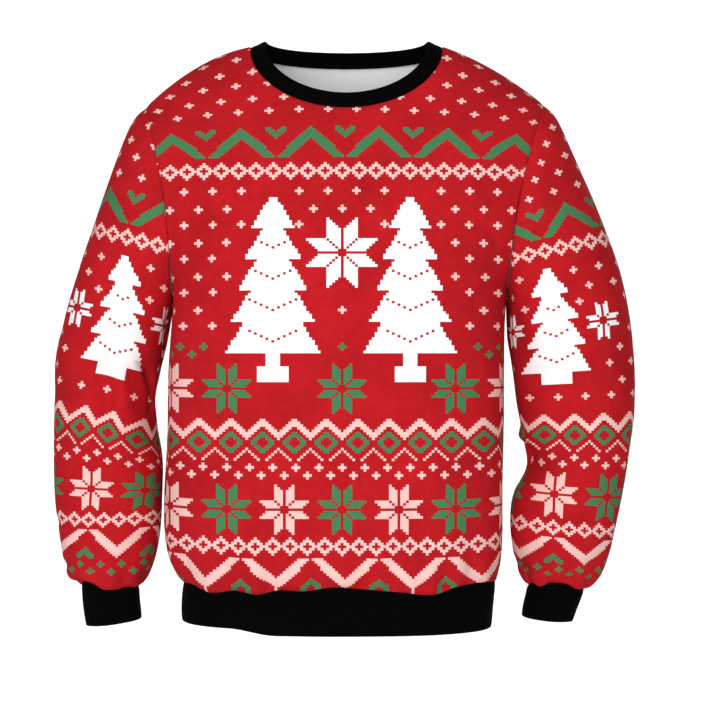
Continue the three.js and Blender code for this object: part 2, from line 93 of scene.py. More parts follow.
# sleeves: outer and inner edge seen from the front, middle depth and reach to the front
sleeveRings = {
    "right": {
        "at": list(range(15)),
        "outX": [231, 245, 259, 278, 293, 309, 326, 336.5, 340.5, 340.5, 339.5, 336, 331, 322, 305.5],
        "outZ": [-71, -86, -116, -166, -207, -252, -310, -366, -420, -470, -515, -556, -590, -616, -632],
        "inX": [198.2, 199.6, 201.4, 203.6, 206.4, 210.5, 217, 222, 219, 214, 212.5, 213.5, 219.5, 229, 238],
        "inZ": [-292, -300, -309, -322, -337, -356, -384, -412, -441, -475, -515, -553, -588, -613, -629],
        "y": [4, 5, 7, 10, 13, 16, 20, 23, 23, 21, 18, 14, 10, 7, 4],
        "reach": [83, 82, 80, 77, 74, 71, 68, 66, 65, 63, 61, 58, 53, 46, 37],
    },
    "left": {
        "at": list(range(15)),
        "outX": [233, 247, 264, 288, 304, 321, 333, 339, 339, 333, 326, 318, 310, 300, 284],
        "outZ": [-68, -84, -120, -174, -215, -264, -318, -372, -422, -468, -514, -556, -588, -613, -631],
        "inX": [
            188.2, 189.6, 190.2, 190.6, 191.4, 194.5, 198, 201, 205.5, 210.5, 198, 194.5, 196.5, 203.5, 213.5,
        ],
        "inZ": [-292, -301, -312, -326, -342, -362, -388, -414, -444, -484, -518, -547, -580, -608, -627],
        "y": [4, 2, 0, -2, -3, -3, -2, -1, 0, 1, 1, 1, 1, 1, 1],
        "reach": [83, 82, 80, 77, 74, 71, 69, 67, 65, 61, 61, 58, 53, 46, 37],
    },
}
cuffRings = {
    "right": {
        "at": [0, 1, 2],
        "outX": [303.5, 303.5, 300.5],
        "outZ": [-632.8, -654, -674],
        "inX": [239.5, 239, 236.5],
        "inZ": [-629.8, -648, -666],
        "y": [4, 3, 2],
        "reach": [35.5, 36, 34.5],
    },
    "left": {
        "at": [0, 1, 2],
        "outX": [280, 272.5, 266.5],
        "outZ": [-631.8, -652, -669],
        "inX": [214.5, 211, 207.5],
        "inZ": [-627.8, -646, -663],
        "y": [1, 1, 1],
        "reach": [35.5, 36, 34.5],
    },
}

# the solids' own folds: x and endX, top and bottom height, width, depth outward
frontFolds = [
    (-172, -160, -150, -275, 14, -4),
    (-190, -176, -300, -560, 20, 3),
    (174, 168, -190, -330, 15, -4),
    (62, 70, -330, -480, 16, -3),
    (-22, -8, -440, -610, 20, -3),
    (120, 112, -500, -615, 20, 4),
    (-110, -96, -520, -615, 22, 4),
]
backFolds = [
    (-168, -140, -160, -320, 18, -5),
    (166, 138, -160, -320, 18, -5),
    (-60, -48, -360, -590, 24, 4),
    (42, 58, -400, -610, 24, -4),
    (118, 128, -430, -612, 20, 4),
    (-130, -118, -470, -612, 22, -4),
]
# and of the sleeves: angle round the ring, ring, half sizes, slant, depth outward
sleeveFolds = {
    "right": [
        (95, 7.2, 16, 2.2, 9, -4),
        (150, 8.6, 40, 0.7, -5, -5),
        (60, 11.6, 50, 0.8, 0, -4),
        (262, 7.6, 46, 0.7, 8, -5),
        (250, 10.2, 52, 0.8, -7, -4),
    ],
    "left": [
        (158, 9.1, 44, 0.55, 6, -6),
        (100, 8.3, 40, 0.6, -6, -4),
        (80, 11.5, 52, 0.8, 4, -4),
        (255, 7.4, 46, 0.7, -8, -5),
        (265, 10.4, 50, 0.8, 6, -4),
    ],
}

# finer creases drawn on the cloth: from one place to another (across, height), width, depth
frontCreases = [
    (-178, -232, -120, -196, 8, -1.8),
    (-186, -262, -128, -250, 9, 1.6),
    (-182, -282, -140, -300, 9, -1.6),
    (176, -236, 124, -204, 8, -1.8),
    (178, -266, 132, -262, 9, 1.5),
    (172, -286, 138, -318, 9, -1.6),
    (58, -332, 76, -400, 9, -1.8),
    (80, -360, 66, -440, 11, 1.4),
    (-4, -452, -14, -575, 9, -1.6),
    (14, -470, 4, -590, 11, 1.5),
    (-146, -450, -120, -590, 12, -1.6),
    (88, -500, 100, -612, 10, -1.8),
    (150, -420, 140, -560, 12, 1.4),
    (-60, -540, -52, -618, 9, -1.8),
    (-150, -180, -138, -270, 10, 1.2),
    (150, -150, 158, -215, 10, 1.2),
]
backCreases = [
    (-170, -240, -110, -190, 9, -2),
    (-176, -268, -120, -262, 10, 1.8),
    (172, -238, 112, -196, 9, -2),
    (176, -270, 126, -276, 10, 1.8),
    (-30, -380, -44, -520, 12, -1.8),
    (30, -340, 20, -470, 12, 1.4),
    (90, -430, 104, -600, 12, -1.8),
    (-96, -440, -84, -606, 11, 1.6),
    (-8, -520, 4, -616, 10, -1.6),
    (-60, -90, 60, -96, 14, 1.4),
]
# short gathers over the hem seam: where across, width, height they run to, depth outward
frontGathers = [
    (-178, 7, 46, -2.4), (-163, 7, 34, 2.2), (-148, 6, 40, 2.6), (-134, 6, 52, -2.6),
    (-117, 6, 36, 2.2), (-98, 7, 60, 3), (-82, 6, 40, -2.6), (-66, 6, 32, 1.6),
    (-48, 7, 58, 2.2), (-29, 6, 44, -2.6), (-12, 6, 36, -1.6), (4, 7, 54, 2), (22, 6, 38, -2.4),
    (40, 6, 46, 2), (57, 6, 62, -2.4), (74, 6, 36, 1.8), (98, 8, 52, 3), (113, 6, 42, -2.8),
    (129, 6, 36, 2), (145, 6, 50, -2.4), (160, 6, 38, 2.2), (172, 6, 32, -2),
]
backGathers = [
    (-176, 7, 40, 2.2), (-160, 6, 52, -2.4), (-140, 7, 44, 2.8), (-118, 6, 38, -2.4),
    (-96, 7, 58, 1.8), (-74, 7, 40, -2.2), (-50, 7, 50, 2.8), (-28, 6, 40, -2.2),
    (-6, 7, 56, 1.8), (16, 6, 42, -2.4), (46, 8, 52, 2.8), (66, 6, 40, -2.4),
    (88, 7, 50, 2), (110, 6, 40, -2.2), (136, 7, 48, 2.6), (156, 6, 40, -2.2), (170, 6, 36, 1.8),
]
# sleeve creases: from (around from the front's middle, height) to another, width, depth
sleeveCreases = {
    "right": [
        (26, -356, 62, -416, 6, -7),
        (8, -362, 46, -430, 10, 4),
        (-14, -380, 8, -446, 9, -3.5),
        (-16, -250, -6, -318, 10, -1.6),
        (70, -400, 22, -412, 7, -2),
        (-66, -440, -14, -456, 9, -1.8),
        (58, -300, 74, -372, 10, -2.2),
        (-40, -520, 30, -534, 8, -1.8),
        (-62, -556, 10, -566, 7, -2.4),
        (-30, -576, 52, -584, 6, 2.4),
        (20, -556, 66, -548, 7, -2),
        (-70, -594, -8, -600, 6, -2.2),
        (14, -604, 66, -598, 5, -2),
        (120, -380, 190, -420, 10, -2.4),
        (140, -300, 150, -400, 12, 1.8),
        (-150, -400, -110, -440, 9, -2.4),
        (-180, -520, -100, -540, 9, -2.2),
        (110, -560, 190, -572, 8, -2.4),
        (-110, -330, -96, -420, 10, 1.6),
    ],
    "left": [
        (34, -108, 30, -196, 13, -2.2),
        (-38, -292, -30, -366, 11, -1.8),
        (-82, -462, -26, -484, 6, -6),
        (-80, -440, -24, -456, 9, 3.5),
        (-70, -486, 0, -494, 8, -2),
        (56, -420, 10, -450, 9, -1.8),
        (64, -330, 78, -392, 10, -1.6),
        (-46, -520, 34, -528, 8, -1.6),
        (-60, -552, 14, -562, 7, -2.4),
        (-22, -574, 56, -582, 6, 2.2),
        (24, -548, 68, -556, 7, -2),
        (-66, -596, -4, -602, 6, -2.2),
        (16, -604, 64, -598, 5, -2),
        (-190, -380, -120, -420, 10, -2.4),
        (-150, -290, -140, -390, 12, 1.8),
        (110, -400, 150, -440, 9, -2.4),
        (100, -520, 180, -540, 9, -2.2),
        (-190, -560, -110, -572, 8, -2.4),
    ],
}
# gathers above each cuff: where around as a share of the ring, width, height, depth
sleeveGathers = [
    (0.02, 0.02, 34, 1.8), (0.07, 0.016, 26, -2), (0.12, 0.02, 38, 2.2), (0.17, 0.016, 24, -1.8),
    (0.225, 0.02, 32, 2.4), (0.28, 0.016, 28, -2.2), (0.335, 0.02, 36, 1.8), (0.39, 0.016, 24, -2),
    (0.44, 0.02, 34, 2.2), (0.5, 0.016, 28, -2), (0.555, 0.02, 38, 2.2), (0.61, 0.016, 26, -1.8),
    (0.665, 0.02, 32, 2.2), (0.72, 0.016, 28, -2.2), (0.775, 0.02, 36, 2.2), (0.83, 0.016, 26, -2),
    (0.885, 0.02, 32, 1.8), (0.945, 0.016, 28, -2),
]

# the print: size of one printed stitch and where its rows lie
bodyPrint = {
    "stitchRight": 3.2,  # on the wearer's right and left
    "stitchLeft": 3.13,
    "row": 2.905,
    "zeroZ": -396.7,  # height of row 0 in the middle
    "shift": 0.29,
    "easeBack": 0.00042,  # stitches widen a little as the body rounds away
    "spineTop": -85,
    "droop": 18.5,  # rows above the chest sink toward the shoulders
    "droopX": 184,
    "droopLow": -156,
    "droopHigh": -45,
    "droopEase": 1.25,
    "droopCurve": 2.2,
    "widen": 0.1,  # and their stitches spread there
    "widenLow": -130,
    "widenHigh": -50,
    "turnFront": (0.88, 0.985),
    "turnBack": (0.3, 0.7),
}
# the sleeve print by height on its middle column: row, place of that column, and how the
# rows tilt outside and inside it
sleevePrint = {
    "right": {
        "z": [-632, -608, -586.5, -549, -513, -445, -403, -386, -314, -277, -226, -182, -142, -102, -71],
        "row": [92, 83, 75, 60, 46, 20.5, 5.4, -0.7, -26.5, -39.7, -58, -74, -88, -102, -113],
        "axis": [297, 297, 296.5, 293.5, 289.5, 287, 273, 269, 254, 250, 245.5, 236, 222, 208, 197.5],
        "tiltOut": [0, 0, 0, 0, 0.03, 0.125, 0.17, 0.19, 0.2, 0.22, 0.265, 0.28, 0.3, 0.33, 0.35],
        "tiltIn": [0, 0, -0.02, -0.02, 0.05, 0.26, 0.3, 0.3, 0.23, 0.22, 0.265, 0.28, 0.3, 0.33, 0.35],
        "stitch": 3.0,
    },
    "left": {
        "z": [-631, -592, -557, -518, -451, -430, -385, -322, -277, -242, -203, -184, -134, -70],
        "row": [90, 75, 60, 46, 20.5, 12.5, -4.4, -28, -45, -58, -74, -82, -102, -128],
        "axis": [240, 240, 239, 240, 246.7, 245.5, 242.5, 240, 231, 227.5, 217, 209.5, 188, 160],
        "tiltOut": [-0.07, -0.07, -0.096, -0.073, 0, 0.03, 0.06, 0.14, 0.175, 0.224, 0.28, 0.34, 0.35, 0.35],
        "tiltIn": [-0.07, -0.07, -0.096, -0.073, 0, 0.03, 0.06, 0.14, 0.175, 0.224, 0.28, 0.34, 0.35, 0.35],
        "stitch": 3.06,
    },
}
# places round a sleeve's end where the cloth is drawn up over the cuff: share, width, lift
cuffLifts = {
    "right": [(0.6, 0.1, 9), (0.22, 0.07, 5), (0.86, 0.04, 2)],
    "left": [(0.24, 0.08, 7), (0.08, 0.04, 3), (0.7, 0.08, 5)],
    "fade": 16,  # the lift is gone this far up the sleeve
}
meshRows = {"neck": 26, "shoulder": 54, "lower": 92, "upper": 88, "ring": 148, "sleeveStep": 3.6}


def mix(a, b, t):
    return a + (b - a) * t


def smooth(value, low, high):
    t = np.clip((value - low) / (high - low), 0, 1)
    return t * t * (3 - 2 * t)


def vec(x, y, z):
    return np.stack(np.broadcast_arrays(x, y, z), axis=-1).astype(float)


def unit(v):
    return v / np.maximum(np.linalg.norm(v, axis=-1, keepdims=True), 1e-9)


def readTable(table, key, column, at):  # a smooth curve through a table's column
    keys, values = np.array(table[key], float), np.array(table[column], float)
    if keys[0] > keys[-1]:
        keys, values = keys[::-1], values[::-1]
    slopes = np.gradient(values, keys)
    slopes[1:-1] = (values[2:] - values[:-2]) / (keys[2:] - keys[:-2])
    row = np.clip(np.searchsorted(keys, at) - 1, 0, len(keys) - 2)
    span = keys[row + 1] - keys[row]
    t = np.clip((at - keys[row]) / span, 0, 1)
    return (
        (2 * t**3 - 3 * t**2 + 1) * values[row]
        + (t**3 - 2 * t**2 + t) * span * slopes[row]
        + (3 * t**2 - 2 * t**3) * values[row + 1]
        + (t**3 - t**2) * span * slopes[row + 1]
    )


def sectionPoint(table, across, z, facing):
    angle = np.abs(across) * math.pi / 2
    power = 2 / cut["roundness"]
    width = np.where(across < 0, readTable(table, "z", "right", z), readTable(table, "z", "left", z))
    depth = readTable(table, "z", "front" if facing < 0 else "back", z)
    x = np.sign(across) * width * np.sin(angle) ** power
    y = cut["seamY"] + facing * depth * np.maximum(np.cos(angle), 0) ** power
    return vec(x, y, z)


def hemWave(x, facing):
    return readTable(frontHemWave if facing < 0 else backHemWave, "x", "lift", x)


def pick(isRight, end, place):  # a sideways or upward value of the shoulder or underarm point
    return np.where(isRight, rightSide[end][place], leftSide[end][place])


def armholeX(isRight, up):
    scoop = 4 * cut["scoop"] * up * (1 - up)
    return mix(pick(isRight, "underarm", 0), pick(isRight, "shoulder", 0), up) - scoop


def shoulderLine(x):
    isRight = x < neck["x"]
    side = np.where(isRight, -1, 1)
    neckX = neck["half"] + side * neck["x"]
    along = (side * x - neckX) / (pick(isRight, "shoulder", 0) - neckX)
    rise = np.where(isRight, rightSide["rise"], leftSide["rise"])
    arch = neck["arch"] * (1 - ((x - neck["x"]) / neck["half"]) ** 2)
    slope = pick(isRight, "shoulder", 1) * along + 4 * rise * along * (1 - along)
    return np.where(along < 0, arch, slope)


def chestDepth(x, z, facing):  # how far chest or back stand off the seams, seen from the front
    width = np.where(
        x < 0, readTable(chestSections, "z", "right", z), readTable(chestSections, "z", "left", z)
    )
    depth = readTable(chestSections, "z", "front" if facing < 0 else "back", z)
    power = cut["roundness"]
    share = np.minimum(np.abs(x) / width, 1)
    below = np.clip((shoulderLine(x) - z) / cut["roll"], 0, 1)
    return depth * (1 - share**power) ** (1 / power) * np.sqrt(1 - (1 - below) ** 2)


def chestPoint(x, z, facing):
    return vec(x, cut["seamY"] + facing * chestDepth(x, z, facing), z)


def chestNormal(x, z, facing):
    step = 0.5
    low = np.minimum(z, shoulderLine(x) - 3)
    sideways = chestDepth(x + step, low, facing) - chestDepth(x - step, low, facing)
    upward = chestDepth(x, low + step, facing) - chestDepth(x, low - step, facing)
    return unit(vec(-sideways / (2 * step), facing, -upward / (2 * step)))


def neckPoint(turn, facing):
    angle = turn * math.pi / 2
    drop = neck["front"] if facing < 0 else neck["back"]
    return chestPoint(neck["x"] + neck["half"] * np.sin(angle), -drop * np.cos(angle), facing)


def armholePoint(edge, turn, facing):
    up = (1 - np.cos(turn * math.pi)) / 2
    z = mix(edge["underarm"][1], edge["shoulder"][1], up)
    isRight = np.full(np.shape(turn), edge["side"] < 0)
    return chestPoint(edge["side"] * armholeX(isRight, up), z, facing)


def straightFolds(folds, x, z):  # soft folds that run down the body
    depth = np.zeros(np.shape(x))
    for startX, endX, top, bottom, width, out in folds:
        t = np.clip((top - z) / (top - bottom), 0, 1)
        off = (x - mix(startX, endX, t)) / width
        depth += out * np.sin(math.pi * t) ** 0.7 * np.exp(-off * off)
    return depth


def creases(table, a, b):  # soft uneven troughs and ridges along short lines
    depth = np.zeros(np.shape(a))
    for place, (fromA, fromB, toA, toB, width, out) in enumerate(table):
        runA, runB = toA - fromA, toB - fromB
        length = math.hypot(runA, runB)
        t = ((a - fromA) * runA + (b - fromB) * runB) / length**2
        bend = 0.12 * length * np.sin(math.pi * np.clip(t, 0, 1)) * (-1) ** place
        off = ((a - fromA) * runB - (b - fromB) * runA) / length + bend
        inside = np.sin(math.pi * np.clip(t, 0, 1)) ** 0.8
        wide = width * (0.75 + 0.5 * np.clip(t, 0, 1))
        depth += out * inside * np.exp(-((off / wide) ** 2))
    return depth


def gathers(table, across, height):  # short folds that start at a gathered seam
    depth = np.zeros(np.shape(across))
    for centre, width, reach, out in table:
        off = (across - centre) / (width * (1 + height / reach))
        start = 1 - np.exp(-height / 5)
        depth += out * start * np.exp(-off * off) * np.exp(-((np.maximum(height, 0) / reach) ** 2))
    return depth


def ripple(a, b, turn):  # the slight unevenness of all soft cloth
    return (
        0.45 * np.sin(a / 23 + b / 61 + turn)
        + 0.4 * np.sin(a / 41 - b / 29 + 2.1 * turn)
        + 0.25 * np.sin(a / 13 - b / 47 + 0.7 * turn) * np.sin(b / 33 + turn)
    )


def gridNormals(rows, closed):
    up = np.vstack([rows[1:], rows[-1:]]) - np.vstack([rows[:1], rows[:-1]])
    if closed:
        across = np.roll(rows, -1, axis=1) - np.roll(rows, 1, axis=1)
    else:
        across = np.concatenate([rows[:, 1:], rows[:, -1:]], 1) - np.concatenate(
            [rows[:, :1], rows[:, :-1]], 1
        )
    return unit(np.cross(across, up))


def running(steps, axis):  # lengths added up along a grid
    zero = np.zeros_like(np.take(steps, [0], axis))
    return np.concatenate([zero, np.cumsum(steps, axis)], axis)


def acrossPrint(rows, side, turned):  # seen from the front, plus what goes round the sides
    deep = np.diff(rows[..., 1], axis=1)
    weight = (turned[:, 1:] + turned[:, :-1]) / 2
    return running(np.sqrt(np.diff(side, axis=1) ** 2 + weight * deep**2 + 1e-4), 1)


def spineLength(z, facing):  # cloth up the middle from the underarm's height; evenly above the neck
    heights = np.linspace(cut["underarmZ"], bodyPrint["spineTop"], 60)
    depths = chestDepth(0 * heights, heights, facing)
    lengths = running(np.hypot(np.diff(heights), np.diff(depths)), 0)
    slope = (lengths[-1] - lengths[-2]) / (heights[-1] - heights[-2])
    return np.interp(z, heights, lengths) + slope * np.maximum(z - heights[-1], 0)


def rolledExtra(x, z, facing):  # length that the rolled shoulder adds where it faces up
    steps = np.sin(np.linspace(0, math.pi / 2, 64))
    height = cut["underarmZ"] + (z - cut["underarmZ"])[..., None] * steps
    depth = readTable(chestSections, "z", "front" if facing < 0 else "back", height)
    below = np.clip((shoulderLine(x)[..., None] - height) / cut["roll"], 0, 1)
    depth = depth * np.sqrt(1 - (1 - below) ** 2)
    rise, back = np.diff(height), np.diff(depth)
    turned = smooth(np.abs(back) / np.maximum(np.hypot(rise, back), 1e-6), 0.7, 0.95)
    return (np.sqrt(rise**2 + turned * back**2) - rise).sum(-1)


class Wire:  # a socket with operators, so that shader maths reads as maths
    def __init__(self, tree, socket):
        self.tree, self.socket = tree, socket

    def node(self, kind, settings, inputs, output=0):
        made = self.tree.nodes.new(kind)
        for name, value in settings.items():
            setattr(made, name, value)
        for place, value in inputs.items():
            if isinstance(value, Wire):
                self.tree.links.new(value.socket, made.inputs[place])
            else:
                made.inputs[place].default_value = value
        return Wire(self.tree, made.outputs[output])

    def maths(self, operation, first, second=0.0):
        return self.node("ShaderNodeMath", {"operation": operation}, {0: first, 1: second})

    def __add__(self, other):
        return self.maths("ADD", self, other)

    __radd__ = __add__

    def __sub__(self, other):
        return self.maths("SUBTRACT", self, other)

    def __rsub__(self, other):
        return self.maths("SUBTRACT", other, self)

    def __mul__(self, other):
        return self.maths("MULTIPLY", self, other)

    __rmul__ = __mul__

    def __truediv__(self, other):
        return self.maths("DIVIDE", self, other)

    def __rtruediv__(self, other):
        return self.maths("DIVIDE", other, self)

    def __mod__(self, other):
        return self.maths("FLOORED_MODULO", self, other)

    def __abs__(self):
        return self.maths("ABSOLUTE", self)

    def __lt__(self, other):
        return self.maths("LESS_THAN", self, other)

    def __gt__(self, other):
        return self.maths("GREATER_THAN", self, other)

    def __and__(self, other):  # both masks
        return self.maths("MULTIPLY", self, other)

    def __or__(self, other):  # either mask
        return self.maths("MAXIMUM", self, other)

    def floor(self):
        return self.maths("FLOOR", self)

    def sine(self):
        return self.maths("SINE", self)


def off(value, centre, period):  # signed distance to the nearest repeat
    return (value - centre + period / 2) % period - period / 2


def near(value, centre, period):
    return abs(off(value, centre, period))


def between(value, low, high):  # whole numbers from low to high
    return (value > low - 0.5) & (value < high + 0.5)


def plusAt(x, y):
    return (abs(x) + abs(y)) < 1.5


def starAt(x, y, petal, wide):  # eight petals round a square of cells, from distances
    upright = between(x, 1, petal) & (y - x > 0.5) & (y - x < wide + 1.5)
    level = between(y, 1, petal) & (x - y > 0.5) & (x - y < wide + 0.5)
    return upright | level


def diamondRow(column, row, centre):
    ring = near(column, 0, 6) + abs(row - centre)
    return between(ring, 2, 3)


def zigzagBand(column, down, peak):  # wide zigzag, thirteen rows high
    below = down - near(column, peak, 24) * 1.06
    return between(down, 0, 12) & between(below, 0, 4)


def heartRow(column, down, centre):
    x = near(column, centre, 24)
    return between(down, 0, 4) & between(x, 0, 3) & between(down + x, 2, 4)


def firTree(x, down, tiers, tier, grow, base):  # white fir with dotted garlands
    level = (down / tier).floor()
    within = down - level * tier
    half = base + level * grow + within * 0.56
    shape = (down > -0.5) & (down < tiers * tier - 0.5) & ((half - x) > 0)
    garland = ((down + (x / 2).floor()) % tier) - (tier - 5)
    dots = between(abs(garland), 0, 0) & between(x % 2, 0, 0) & (x < half - 1.5)
    return shape & (1 - (dots & (level > 0.5)))


# where each pattern lies, in rows and stitches; a lattice row is (row, first stitch)
body = {
    "zigzagTop": -102, "zigzagPeak": 13, "diamonds": (-84, 60), "tip": 1,
    "field": (-77, -23), "fieldRows": ((-76, 5), (-69, 0)),
    "topField": (-180, -104), "topRows": ((-110, 5), (-116, 0)),
    "plusPhase": 0, "greenPluses": -16, "greenStart": 0, "stars": (0, 46), "starPhase": 0,
}
arm = {
    "zigzagTop": -76, "zigzagPeak": 12, "diamonds": (-58, 60), "tip": 12,
    "field": (-49, 5), "fieldRows": ((4, 0), (-2, 5)),
    "topField": (-180, -80), "topRows": ((-82, 0), (-89, 5)),
    "plusPhase": 2, "greenPluses": 80, "greenStart": -2, "stars": (46,), "starPhase": 20,
}
otherArm = {**arm, "plusPhase": -2, "greenStart": 2}
bodyPicture = {"trees": (-24, 24), "top": -73, "tiers": 5, "tier": 12, "grow": 2.2, "base": 1.4,
               "star": (0, -52), "petal": 5, "long": 7, "foot": 10}
armPicture = {"trees": (0,), "top": -50, "tiers": 4, "tier": 11, "grow": 1.9, "base": 1.2,
              "star": (18, -26), "petal": 2, "long": 4, "foot": 4}


def whitePicture(column, row, picture, sides):
    down = row - picture["top"]
    shapes = None
    for place in picture["trees"]:
        x = abs(column - place)
        tree = firTree(x, down, picture["tiers"], picture["tier"], picture["grow"], picture["base"])
        foot = picture["tiers"] * picture["tier"] + picture["top"]
        trunk = between(row, foot, foot + picture["foot"]) & (x < 2.5)
        tub = between(row, foot + picture["foot"] - 5, foot + picture["foot"]) & (x < 5.5)
        shapes = tree | trunk | tub if shapes is None else shapes | tree | trunk | tub
    for side in sides:
        x = abs(column - side * picture["star"][0])
        y = abs(row - picture["star"][1])
        shapes = shapes | starAt(x, y, picture["petal"], picture["long"])
    return shapes


def clearOfPicture(column, row, picture, sides):  # 1 where a small plus may stand
    down = row - picture["top"]
    height = picture["tiers"] * picture["tier"] + picture["foot"] + 3
    taken = None
    for place in picture["trees"]:
        half = picture["base"] + 4 + down * ((picture["grow"] + 1.2) / picture["tier"])
        tree = ((half - abs(column - place)) > 0) & (down > -4) & (down < height)
        taken = tree if taken is None else taken | tree
    for side in sides:
        x = abs(column - side * picture["star"][0])
        y = abs(row - picture["star"][1])
        reach = picture["petal"] + picture["long"] + 3.5
        taken = taken | ((x < reach) & (y < reach + 1) & (x + y < reach * 1.45))
    return 1 - taken


def startMaterial(name):
    material = bpy.data.materials.new(name)
    material.use_nodes = True
    tree = material.node_tree
    shader = next(n for n in tree.nodes if n.type == "BSDF_PRINCIPLED")
    start = Wire(tree, None)
    uv = start.node("ShaderNodeUVMap", {"uv_map": "cloth"}, {})
    parts = start.node("ShaderNodeSeparateXYZ", {}, {0: uv})
    u = parts
    v = Wire(tree, parts.socket.node.outputs[1])
    return material, shader, start, uv, u, v


def layColour(start, factor, under, over):
    return start.node(
        "ShaderNodeMix", {"data_type": "RGBA"}, {0: factor, 6: under, 7: over}, output=2
    )


printColours = {
    "red": (0.56, 0.010, 0.016, 1),
    "deepRed": (0.36, 0.006, 0.010, 1),
    "uneven": 2.2,  # how strongly the two reds part
    "groove": (0.05, 0.02, 0.02, 1),
    "loopDepth": 0.0004,
    "rough": 0.9,
    "shine": 0.1,
    "pink": (0.87, 0.53, 0.49, 1),
    "green": (0.055, 0.205, 0.085, 1),
    "white": (0.93, 0.93, 0.93, 1),
    "stitchShade": 0.10,  # how dark the printed stitches' grooves are
    "bump": 0.25,
}


def printedCloth(name, layout, picture, sides):
    material, shader, start, uv, u, v = startMaterial(name)
    column = (u + 0.5).floor()
    row = (v + 0.5).floor()
    y1 = row - layout["zigzagTop"]

    # pink on red
    pink = diamondRow(column, row, layout["diamonds"][0])
    pink = pink | diamondRow(column, row, layout["diamonds"][1])
    valley = near(column, 0, 11)
    zigzag = between(row - 17 + valley, 0, 2) & between(row, 12, 19)
    caret = between(row, 23, 27) & between(abs(row - 23 - valley), 0, 0)
    pink = pink | zigzag | caret
    phase = layout["plusPhase"]
    pink = pink | plusAt(near(column, phase, 8), row - 30) | plusAt(near(column, phase + 4, 8), row - 33)
    pink = pink | zigzagBand(column, 77 - row, layout["tip"])
    for rows, extent in ((layout["topRows"], layout["topField"]), (layout["fieldRows"], layout["field"])):
        for centre, first in rows:  # single pluses ten stitches apart, every thirteenth row
            x, y = off(column, first, 10), off(row, centre, 13)
            shown = plusAt(x, y) & between(row - y, *extent)
            if picture and extent == layout["field"]:
                shown = shown & clearOfPicture(column - x, row - y, picture, sides)
            pink = pink | shown

    # green
    peak = layout["zigzagPeak"]
    green = zigzagBand(column, y1, peak) | heartRow(column, y1, peak - 12)
    ring = near(column, 5.5, 11) + abs(row - 20.5)
    green = green | ((ring > 2.5) & (ring < 4.5))
    green = green | heartRow(column, 77 - row, layout["tip"] + 12)
    for step, first in ((0, layout["greenStart"]), (3, layout["greenStart"] + 4)):
        x, y = off(column, first, 8), row - layout["greenPluses"] - step
        shown = plusAt(x, y)
        if picture:
            shown = shown & clearOfPicture(column - x, row - y, picture, sides)
        green = green | shown

    # stars take turns in green and pink
    x = near(column, 0, 20)
    stars = None
    for centre in layout["stars"]:
        star = starAt(x, abs(row - centre), 3, 5)
        if picture and centre == 0:
            star = star & (1 - between(abs(column), 10, 30))
        stars = star if stars is None else stars | star
    greenTurn = near(column, layout["starPhase"], 40) < 10
    green = green | (stars & greenTurn)
    pink = pink | (stars & (1 - greenTurn))

    # colour of the cloth, with a slow unevenness and the printed stitches' own shade
    slow = start.node("ShaderNodeTexNoise", {}, {"Vector": uv, "Scale": 0.05, "Detail": 2.0})
    quick = start.node("ShaderNodeTexNoise", {}, {"Vector": uv, "Scale": 0.42, "Detail": 3.0})
    uneven = (slow * 0.6 + quick * 0.4 - 0.5) * printColours["uneven"] + 0.5
    colour = layColour(start, uneven, printColours["red"], printColours["deepRed"])
    colour = layColour(start, pink, colour, printColours["pink"])
    colour = layColour(start, green, colour, printColours["green"])
    if picture:
        white = whitePicture(column, row, picture, sides)
        colour = layColour(start, white, colour, printColours["white"])
    leg = abs(u - column)
    slant = (v + leg * 1.1) % 1
    groove = (slant < 0.2) | (leg > 0.42) | (leg < 0.06)
    colour = layColour(start, groove * printColours["stitchShade"], colour, printColours["groove"])
    start.tree.links.new(colour.socket, shader.inputs["Base Color"])

    # fine jersey: narrow columns of loops
    loops = (u * 15.7).sine() * 0.5 + (v * 18.8 + abs(u * 2.5 % 1 - 0.5) * 3.1).sine() * 0.5
    fuzz = start.node("ShaderNodeTexNoise", {}, {"Vector": uv, "Scale": 3.5, "Detail": 3.0})
    height = loops * 0.3 + fuzz
    look = {"Height": height, "Strength": printColours["bump"], "Distance": printColours["loopDepth"]}
    bump = start.node("ShaderNodeBump", {}, look)
    start.tree.links.new(bump.socket, shader.inputs["Normal"])
    shader.inputs["Roughness"].default_value = printColours["rough"]
    shader.inputs["Specular IOR Level"].default_value = printColours["shine"]
    return material


plainCloth = {
    "inside": {"low": (0.95, 0.95, 0.95, 1), "high": (0.98, 0.98, 0.98, 1), "rib": 2.5, "rough": 0.9},
    "band": {
        "low": (0.0007, 0.0007, 0.0008, 1),
        "high": (0.002, 0.002, 0.0022, 1),
        "rib": 1.6,
        "rough": 0.95,
    },
    "bump": 0.3,
    "depth": 0.0004,
    "shine": 0.03,
}


def jersey(name, look):  # unprinted cloth: fine columns of loops
    material, shader, start, uv, u, v = startMaterial(name)
    fuzz = start.node("ShaderNodeTexNoise", {}, {"Vector": uv, "Scale": 0.9, "Detail": 4.0})
    colour = layColour(start, fuzz, look["low"], look["high"])
    start.tree.links.new(colour.socket, shader.inputs["Base Color"])
    ribs = (u * (2 * math.pi / look["rib"])).sine() * 0.5 + (v * 3.7).sine() * 0.15
    rough = look["rough"]
    look = {"Height": ribs + fuzz, "Strength": plainCloth["bump"], "Distance": plainCloth["depth"]}
    bump = start.node("ShaderNodeBump", {}, look)
    start.tree.links.new(bump.socket, shader.inputs["Normal"])
    shader.inputs["Roughness"].default_value = rough
    shader.inputs["Specular IOR Level"].default_value = plainCloth["shine"]
    return material


